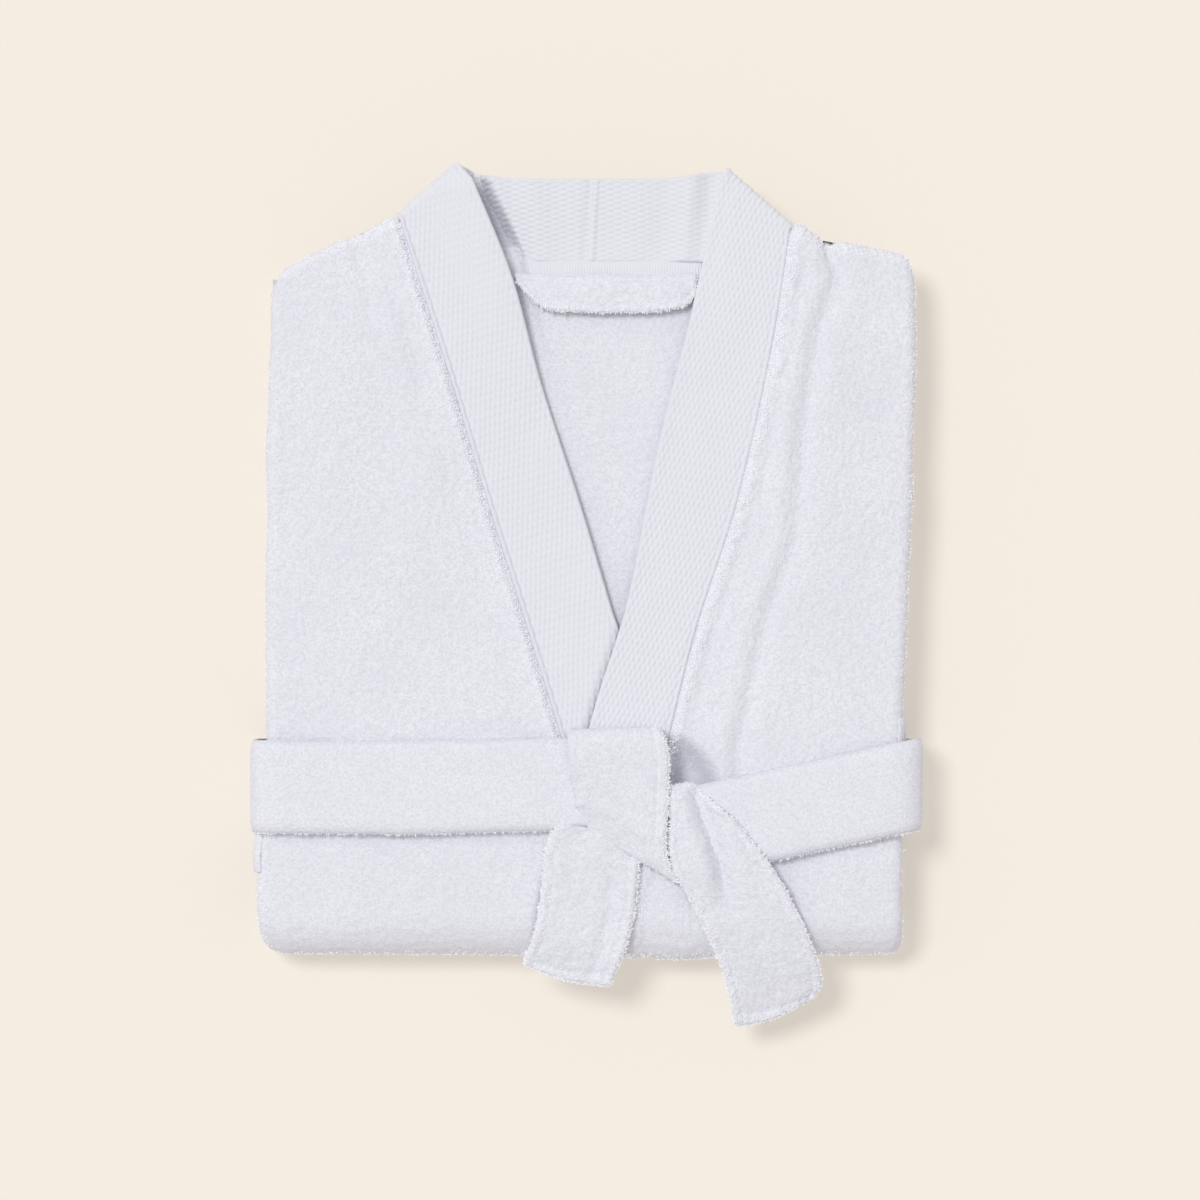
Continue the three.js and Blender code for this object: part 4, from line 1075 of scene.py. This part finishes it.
def belt_stations():
    """Stations of the belt, from the knot round the left side, under the stack and back over the right side."""
    top, low = -80.8, -132.6
    z, side = BELT_MIDDLE + 0.5, BELT_SIDE
    rows = [(24, -86, -126, z + 0.4, 0), (4, -81.5, -129.0, z + 0.3, 0.5), (-14, -79.4, -131.0, z, 1.6),
            (-60, -80.2, -132.2, z, 2.6), (-100, -80.4, -133.2, z, 2.9), (-140, -80.9, -132.8, z, 1.6),
            (-162, -81.3, -132.8, z, 0.4)]
    left = [((x, a, h), (x, b, h + off)) for x, a, b, h, off in rows]
    corner = [(-176, z - 0.6), (-183, z - 3.4), (-side, z - 10), (-side, z / 2), (-side, 9.5), (-183.5, 4.4),
              (-177.5, 2.2), (-150, 2.1), (-60, 2.1), (60, 2.1), (150, 2.1), (177.5, 2.2), (183.5, 4.4),
              (side, 9.5)]
    round_it = [((x, top, h), (x, low, h)) for x, h in corner]
    right = [((side, -80.0, z / 2), (side, -131.8, z / 2)), ((side, -79.6, z - 10), (side, -131.2, z - 10)),
             ((183, -80.2, z - 3.4), (183, -131.8, z - 3.4)), ((176, -81.6, z - 0.6), (176, -133.2, z - 0.6)),
             ((158, -85.2, z), (160, -136.4, z + 0.8)), ((120, -93.4, z + 0.3), (128, -143.0, z + 1.6)),
             ((90, -99.8, z + 0.6), (104, -148.2, z + 1.4)), ((68, -104.4, z + 0.8), (84, -149.0, z + 0.4)),
             ((52, -109, z), (62, -143.0, z)), ((36, -113, z - 0.4), (40, -134.0, z - 0.2))]
    return left + round_it + right


def belt(settings):
    """The belt's run round the stack, from the knot back to the knot."""
    across = spread([(0, 1, settings.grid / BELT_WIDTH)], 4)

    def along(length):
        return spread([(0, 196, settings.grid), (196, 246, 1.7), (246, 608, 6), (608, 664, 1.7),
                       (664, length, settings.grid)], 4)

    mid, at = ribbon(belt_stations(), along, across)
    v = np.repeat(across[None, :] * BELT_WIDTH, len(at), 0)
    u = np.repeat(at[:, None], len(across), 1)
    top_left, top_right = smoothstep(215, 190, u), smoothstep(660, 690, u)
    wrinkle = -1.3 * bump(27, 3.2, v + 2.0 * np.sin(u / 21.0)) * bump(108, 26, u)
    wrinkle = wrinkle - 0.8 * bump(16, 2.8, v - 0.03 * (u - 60)) * bump(70, 22, u)
    wrinkle = wrinkle + 0.8 * bump(33, 6, v) * bump(105, 30, u)
    hems = stitched_groove(v - 5.6, u, 0.75, 0.75) + stitched_groove(46.5 - v, u, 0.45, 0.7)
    soft = 0.9 * noise(u, v, 38.0, 101) + 0.5 * noise(u, v, 14.0, 102)
    rolled = 0.5 * bump(2.6, 2.2, v) + 0.4 * bump(2.6, 2.4, BELT_WIDTH - v)
    height = terry(u, v, 0.46) + hems + rolled + (soft + wrinkle) * np.maximum(top_left, top_right)
    name = "cloth_belt_round"
    piece = shell(name, mid, BELT_CLOTH, height, np.stack([u, v], -1), 1, settled=False)
    finish_piece(piece, "terry", "belt_wrap")
    grid, _ = SURFACES[name]
    on_top = smoothstep(20, 44, grid[..., 2])
    loops = pile_on(name, 1, on_top * 0.5 * bump(50.0, 2.4, v), 1.1, 231)
    edges = fringe_on(name, 1, [3], 0.6, 1.3, 235)
    add_yarn(name + "_loops", "yarn", [loops, edges])
    seams = [stitch_column(name, 1, distance, pitch=3.2) for distance in (5.6, -5.5)]
    add_yarn("thread_belt_hems", "thread", seams)


def knot(settings):
    """The belt's crossing and the strip that wraps it."""
    low, high = box_mm("belt_knot_core")
    x = spread([(low[0] + 3, high[0] - 8, 1.5)], 4)
    y = spread([(low[1] + 8, high[1] - 3, 1.5)], 4)
    gx, gy = np.meshgrid(x, y)
    mid = np.stack([gx, gy, np.full_like(gx, (low[2] + high[2]) / 2 - 0.6)], -1)
    core = shell("cloth_knot_core", mid, high[2] - low[2], terry(gx, gy, 0.4), np.stack([gx, gy], -1), 1,
                 settled=False)
    finish_piece(core, "terry", "belt_knot_core")
    over = box_mm("belt_knot_wrap")[1][2] - 1.9
    stations = [((-8.5, -79.5, 52.0), (40.0, -79.5, 52.5)), ((-9.6, -76.4, 54.6), (40.6, -76.0, 55.6)),
                ((-10.2, -76.6, 57.4), (41.8, -76.2, 59.4)),
                ((-10.6, -80.5, over - 2.6), (44.8, -80.5, over - 0.3)),
                ((-9.6, -92, over - 2.8), (46.3, -93, over + 0.3)),
                ((-8.2, -104, over - 4.0), (46.0, -113, over + 0.4)),
                ((-6.6, -114, over - 6.2), (44.9, -129, over + 0.1)),
                ((-3.4, -122.6, over - 7.6), (44.6, -141, over - 1.0)),
                ((0.2, -128.4, over - 7.8), (47.6, -153, over - 3.2)),
                ((4.0, -131.4, over - 8.0), (51.0, -159.6, over - 5.0)),
                ((5.5, -130.6, over - 9.6), (49.5, -157.0, over - 7.4))]
    across = spread([(0, 1, settings.grid / WRAP_WIDTH)], 4)
    mid, at = ribbon(stations, lambda length: evenly(settings, length), across)
    u = np.repeat(across[None, :] * WRAP_WIDTH, len(at), 0)
    v = np.repeat(at[:, None], len(across), 1)
    x, y = mid[..., 0], mid[..., 1]
    mid[..., 2] += 1.3 * np.sin(math.pi * across)[None, :] * smoothstep(4, 14, v) - 1.0
    upper = smoothstep(-128, -118, y)
    from_edge = WRAP_WIDTH - u
    border = (stitched_groove(from_edge - 6.6, v, 1.1, 0.8) + 0.9 * bump(3.2, 2.4, from_edge))
    border = border * smoothstep(-150, -132, y)
    border = border + stitched_groove(u - 5.0, v, 0.35, 0.7) * upper
    pulls = 0.9 * bump(0, 3.0, (x - 14) * 0.5 + (y + 122) * 0.85) * bump(16, 22, x)
    pulls = pulls - 0.8 * bump(0, 3.0, (x - 14) * 0.5 + (y + 113) * 0.85) * bump(22, 20, x)
    soft = 0.8 * noise(u, v, 22.0, 103) + 0.4 * noise(u, v, 9.0, 104)
    height = terry(u, v, 0.62) + border + pulls + soft
    name = "cloth_knot_wrap"
    wrap = shell(name, mid, 3.8, height, np.stack([u, v], -1), -1, settled=False)
    finish_piece(wrap, "terry", "belt_knot_wrap")
    loops = pile_on(name, -1, 0.5 * bump(2.0, 2.4, from_edge) + 0.3 * bump(0, 4, at[-1] - v), 1.1, 241)
    edges = fringe_on(name, -1, [1, 3], 0.6, 1.3, 245)
    add_yarn(name + "_loops", "yarn", [loops, edges])
    rows = slice(8, int(0.72 * len(at)))
    add_yarn("thread_knot", "thread", [stitch_column(name, -1, -6.8, rows=rows)])


LEFT_TAIL = [((-12.0, -127.6, 55.6), (26.0, -133.0, 55.0)), ((-17.0, -129.6, 55.9), (28.0, -139.0, 55.4)),
             ((-20.6, -134.6, 55.6), (29.4, -146.0, 54.8)), ((-23.6, -146.0, 54.4), (28.9, -156.0, 53.8)),
             ((-25.8, -170.0, 52.8), (27.0, -175.0, 53.0)), ((-29.6, -190.4, 51.0), (23.0, -193.0, 51.4)),
             ((-34.2, -201.0, 47.6), (18.2, -207.0, 47.4)), ((-35.2, -206.0, 45.8), (13.0, -218.4, 43.6))]
RIGHT_TAIL = [((47.0, -106.0, 55.6), (57.0, -103.6, 55.8)), ((46.6, -110.5, 57.2), (63.0, -108.0, 57.2)),
              ((46.6, -117.0, 57.8), (71.0, -115.6, 57.6)), ((46.6, -128.0, 57.8), (84.0, -126.6, 57.2)),
              ((45.8, -141.0, 57.4), (95.6, -141.0, 58.2)), ((49.8, -156.0, 56.6), (106.6, -156.6, 58.2)),
              ((57.6, -168.6, 55.4), (114.6, -170.0, 56.6)), ((67.8, -189.7, 53.2), (123.4, -189.4, 53.6)),
              ((75.8, -208.4, 48.2), (129.8, -205.0, 48.6)), ((80.6, -227.0, 41.0), (132.0, -217.0, 42.0)),
              ((83.2, -241.6, 35.0), (127.6, -224.2, 37.6))]


def tail(name, stations, node, settings, bulge, relief, hinge):
    """One end of the belt, from the knot over the stack's edge."""
    across = spread([(0, 1, settings.grid / TAIL_WIDTH)], 4)
    mid, at = ribbon(stations, lambda length: evenly(settings, length), across, bulge)
    left = np.linalg.norm(mid - mid[:, :1], axis=-1)
    right = np.linalg.norm(mid - mid[:, -1:], axis=-1)
    v = np.repeat(at[:, None], len(across), 1)
    end = at[-1] - v
    x, y = mid[..., 0], mid[..., 1]
    mid[..., 2] += relief(x, y, v, across[None, :])
    hems = stitched_groove(left - 5.2, v, 0.8, 0.75) + stitched_groove(right - 5.6, v, 1.0, 0.75)
    hems = (hems + stitched_groove(end - 6.0, left, 0.8, 0.75)) * smoothstep(8, 35, v)
    rolled = 0.55 * bump(2.4, 2.0, left) + 0.8 * bump(2.4, 2.0, right) + 0.7 * bump(2.6, 2.2, end)
    soft = 0.7 * noise(x, y, 24.0, 105) + 0.4 * noise(x, y, 10.0, 106)
    height = terry(left, v, 0.66) + hems + rolled + soft
    piece = shell(name, mid, BELT_CLOTH, height, np.stack([left, v], -1), -1, settled=False)
    finish_piece(piece, "terry", node, node, hinge)
    near_edge = bump(2.2, 2.8, left) + bump(2.2, 2.8, right) + bump(2.4, 2.8, end)
    loops = pile_on(name, -1, 0.4 * np.minimum(near_edge, 1), 1.1, 251)
    edges = fringe_on(name, -1, [1, 2, 3], 0.5, 1.5, 255)
    add_yarn(name + "_loops", "yarn", [loops, edges], node, hinge)
    rows = slice(int(20 / settings.grid), None)
    seams = [stitch_column(name, -1, 5.2, rows=rows), stitch_column(name, -1, -5.6, rows=rows)]
    seams.append(stitch_column(name, -1, -6.0, axis=0))
    add_yarn("thread_" + node, "thread", seams, node, hinge)
    return piece


LEFT_HINGE = ((4.3, -142.0, 53.0), (1.6, -158.0, 53.0))
RIGHT_HINGE = ((60.0, -104.0, 57.0), (66.0, -124.0, 57.0))


def tails(settings):
    """The belt's two ends."""
    def left_relief(x, y, v, f):
        edge = (1.3 * bump(0.9, 0.09, f) - 1.5 * bump(0.74, 0.09, f)) * smoothstep(10, 40, v)
        return edge + 0.8 * bump(0.12, 0.12, f) * smoothstep(50, 10, v)

    def right_relief(x, y, v, f):
        line = np.interp(-y, [104, 113, 127, 141, 163, 176, 230], [59, 62, 67, 72, 77, 79, 92])
        fade = smoothstep(-186, -150, y)
        ridge = 3.0 * bump(-10.0, 6.5, x - line) - 5.2 * bump(0.5, 4.6, x - line) + 1.4 * bump(11, 6, x - line)
        return ridge * fade * smoothstep(0, 10, v)

    left = tail("cloth_left_tail", LEFT_TAIL, "left_tail", settings, 3.5, left_relief, LEFT_HINGE)
    right = tail("cloth_right_tail", RIGHT_TAIL, "right_tail", settings, 5.0, right_relief, RIGHT_HINGE)


# ---- Stage, classes and main ------------------------------------------------------------------------

def studio(settings):
    """Floor, soft light from the upper left and a camera straight above."""
    bpy.ops.mesh.primitive_plane_add(size=6, location=(0, 0, -0.0006))
    floor = bpy.context.object
    floor.name = "studio_floor"
    floor.data.materials.append(painted_floor(settings))
    world = bpy.data.worlds.new("studio_world")
    bpy.context.scene.world = world
    world.use_nodes = True
    background = world.node_tree.nodes["Background"]
    background.inputs["Color"].default_value = linear(settings.fill_colour)
    background.inputs["Strength"].default_value = settings.fill_strength
    bpy.ops.object.light_add(type="SUN", location=(-1, 1, 2))
    lamp = bpy.context.object
    lamp.name = "key_light"
    lamp.data.energy = settings.key_strength
    lamp.data.angle = settings.key_softness
    lamp.data.color = linear(settings.key_colour)[:3]
    lamp.rotation_euler = (math.pi / 2 - settings.key_height, 0, settings.key_heading + math.pi / 2)
    bpy.ops.object.camera_add(location=(0.00756, -0.00224, 3.65), rotation=(0, 0, 0))
    camera = bpy.context.object
    camera.name = "camera_above"
    camera.data.sensor_width = 36
    camera.data.lens = 36 * 3.6 / settings.frame_width
    camera.data.clip_end = 20
    bpy.context.scene.camera = camera
    bpy.context.scene.view_settings.view_transform = "Standard"
    bpy.context.scene.view_settings.look = "None"


class RobeClothSettings(bpy.types.PropertyGroup):
    """The cloths' colours and grain."""
    terry_colour: StringProperty(name="Terry", description="Colour of the loops' tips, sRGB", default="#f1f2fa")
    # Terry shade is painted shade between the loops, and also the darker side of the cloth's random tone.
    terry_shade_and_tone: StringProperty(name="Terry shade", description="Colour between the loops, sRGB", default="#e2e3ed")
    yarn_colour: StringProperty(name="Yarn", description="Colour of the loose loops, sRGB", default="#f1f1f2")
    yarn_shade: StringProperty(name="Yarn, shaded", description="Colour inside the loose loops, sRGB",
                               default="#e4e4e6")
    # The yarn's glow is painted light that keeps the loops' shaded sides pale; the loops are no lamp.
    yarn_glow: FloatProperty(name="Yarn glow", description="Light scattered back from inside the pile",
                             default=0.55, min=0, max=1)
    pique_colour: StringProperty(name="Pique", description="Colour of the honeycomb band, sRGB", default="#e7e8f0")
    thread_colour: StringProperty(name="Thread", description="Colour of the sewing thread, sRGB", default="#f7f7f9")
    loop_spacing: FloatProperty(name="Loop spacing", description="Distance between pile loops, in millimetres",
                                default=1.3, min=0.3, max=5)
    loop_height: FloatProperty(name="Loop height", description="Relief of the pile loops, in millimetres",
                               default=1.1, min=0, max=3)
    grid: FloatProperty(name="Grid", description="Mesh spacing where the terry shows, in millimetres",
                        default=1.2, min=0.5, max=10)
    weave_grid: FloatProperty(name="Weave grid", description="Mesh spacing of the honeycomb bands, in millimetres",
                              default=0.62, min=0.4, max=10)


class RobeStageSettings(bpy.types.PropertyGroup):
    """Floor, light and camera."""
    floor_colour: StringProperty(name="Floor", description="Colour of the floor, sRGB", default="#f6efe4")
    fill_colour: StringProperty(name="Fill colour", description="Colour of the light all round, sRGB",
                                default="#fffcfb")
    fill_strength: FloatProperty(name="Fill strength", description="Brightness of the light all round", default=0.60)
    floor_glow: FloatProperty(name="Floor glow", description="Share of the floor's brightness that is its own light",
                              default=0.35, min=0, max=1)
    key_colour: StringProperty(name="Key colour", description="Colour of the lamp, sRGB", default="#feffff")
    key_strength: FloatProperty(name="Key strength", description="Brightness of the lamp", default=1.35)
    key_softness: FloatProperty(name="Key softness", description="Apparent size of the lamp",
                                default=math.radians(17), subtype="ANGLE")
    key_height: FloatProperty(name="Key height", description="Height of the lamp above the floor",
                              default=math.radians(66), subtype="ANGLE")
    key_heading: FloatProperty(name="Heading", description="Direction that the lamp shines from, from the right",
                               default=math.radians(140), subtype="ANGLE")
    frame_width: FloatProperty(name="Frame width", description="Width that the camera sees at the robe's top",
                               default=0.672, unit="LENGTH")


class ROBE_OT_fronts(bpy.types.Operator):
    """Adds both fronts of the robe"""
    bl_idname = "robe.fronts"
    bl_label = "Fronts"

    def execute(self, context):
        fronts(context.scene.robe_cloth)
        return {"FINISHED"}


class ROBE_OT_back(bpy.types.Operator):
    """Adds the back panel"""
    bl_idname = "robe.back"
    bl_label = "Back"

    def execute(self, context):
        back(context.scene.robe_cloth)
        return {"FINISHED"}


class ROBE_OT_sleeves(bpy.types.Operator):
    """Adds the folded sleeves and their cuffs"""
    bl_idname = "robe.sleeves"
    bl_label = "Sleeves"

    def execute(self, context):
        sleeves()
        return {"FINISHED"}


class ROBE_OT_pockets(bpy.types.Operator):
    """Adds the two patch pockets"""
    bl_idname = "robe.pockets"
    bl_label = "Pockets"

    def execute(self, context):
        pockets()
        return {"FINISHED"}


class ROBE_OT_collar(bpy.types.Operator):
    """Adds the collar bands and the neck tape"""
    bl_idname = "robe.collar"
    bl_label = "Collar"

    def execute(self, context):
        collar(context.scene.robe_cloth)
        return {"FINISHED"}


class ROBE_OT_hanger_loop(bpy.types.Operator):
    """Adds the hanger loop"""
    bl_idname = "robe.hanger_loop"
    bl_label = "Hanger loop"

    def execute(self, context):
        hanger_loop()
        return {"FINISHED"}


class ROBE_OT_belt_loops(bpy.types.Operator):
    """Adds the two belt loops"""
    bl_idname = "robe.belt_loops"
    bl_label = "Belt loops"

    def execute(self, context):
        belt_loops()
        return {"FINISHED"}


class ROBE_OT_belt(bpy.types.Operator):
    """Adds the belt's run round the stack"""
    bl_idname = "robe.belt"
    bl_label = "Belt"

    def execute(self, context):
        belt(context.scene.robe_cloth)
        return {"FINISHED"}


class ROBE_OT_knot(bpy.types.Operator):
    """Adds the belt's knot"""
    bl_idname = "robe.knot"
    bl_label = "Knot"

    def execute(self, context):
        knot(context.scene.robe_cloth)
        return {"FINISHED"}


class ROBE_OT_tails(bpy.types.Operator):
    """Adds the belt's two ends"""
    bl_idname = "robe.tails"
    bl_label = "Tails"

    def execute(self, context):
        tails(context.scene.robe_cloth)
        return {"FINISHED"}


class ROBE_OT_stage(bpy.types.Operator):
    """Adds the floor, the light and the camera"""
    bl_idname = "robe.stage"
    bl_label = "Stage"

    def execute(self, context):
        studio(context.scene.robe_stage)
        return {"FINISHED"}


OPERATORS = [ROBE_OT_fronts, ROBE_OT_back, ROBE_OT_sleeves, ROBE_OT_pockets, ROBE_OT_collar, ROBE_OT_hanger_loop,
             ROBE_OT_belt_loops, ROBE_OT_belt, ROBE_OT_knot, ROBE_OT_tails, ROBE_OT_stage]


class ROBE_PT_panel(bpy.types.Panel):
    """Buttons and settings of the robe"""
    bl_label = "Folded bathrobe"
    bl_idname = "ROBE_PT_panel"
    bl_space_type = "VIEW_3D"
    bl_region_type = "UI"
    bl_category = "Bathrobe"

    def draw(self, context):
        for group in (context.scene.robe_cloth, context.scene.robe_stage):
            for key in group.bl_rna.properties.keys():
                if key not in ("rna_type", "name"):
                    self.layout.prop(group, key)
        for operator in OPERATORS:
            self.layout.operator(operator.bl_idname)


CLASSES = [RobeClothSettings, RobeStageSettings] + OPERATORS + [ROBE_PT_panel]


def register():
    """Registers the classes and the settings."""
    for item in CLASSES:
        bpy.utils.register_class(item)
    bpy.types.Scene.robe_cloth = PointerProperty(type=RobeClothSettings)
    bpy.types.Scene.robe_stage = PointerProperty(type=RobeStageSettings)


def unregister():
    """Takes the classes and the settings away again."""
    del bpy.types.Scene.robe_cloth, bpy.types.Scene.robe_stage
    for item in reversed(CLASSES):
        bpy.utils.unregister_class(item)


def main():
    """Builds every piece, then the stage."""
    register()
    bpy.ops.object.select_all(action="DESELECT")
    for operator in OPERATORS:
        getattr(bpy.ops.robe, operator.bl_idname.split(".")[1])()


if __name__ == "__main__":
    main()
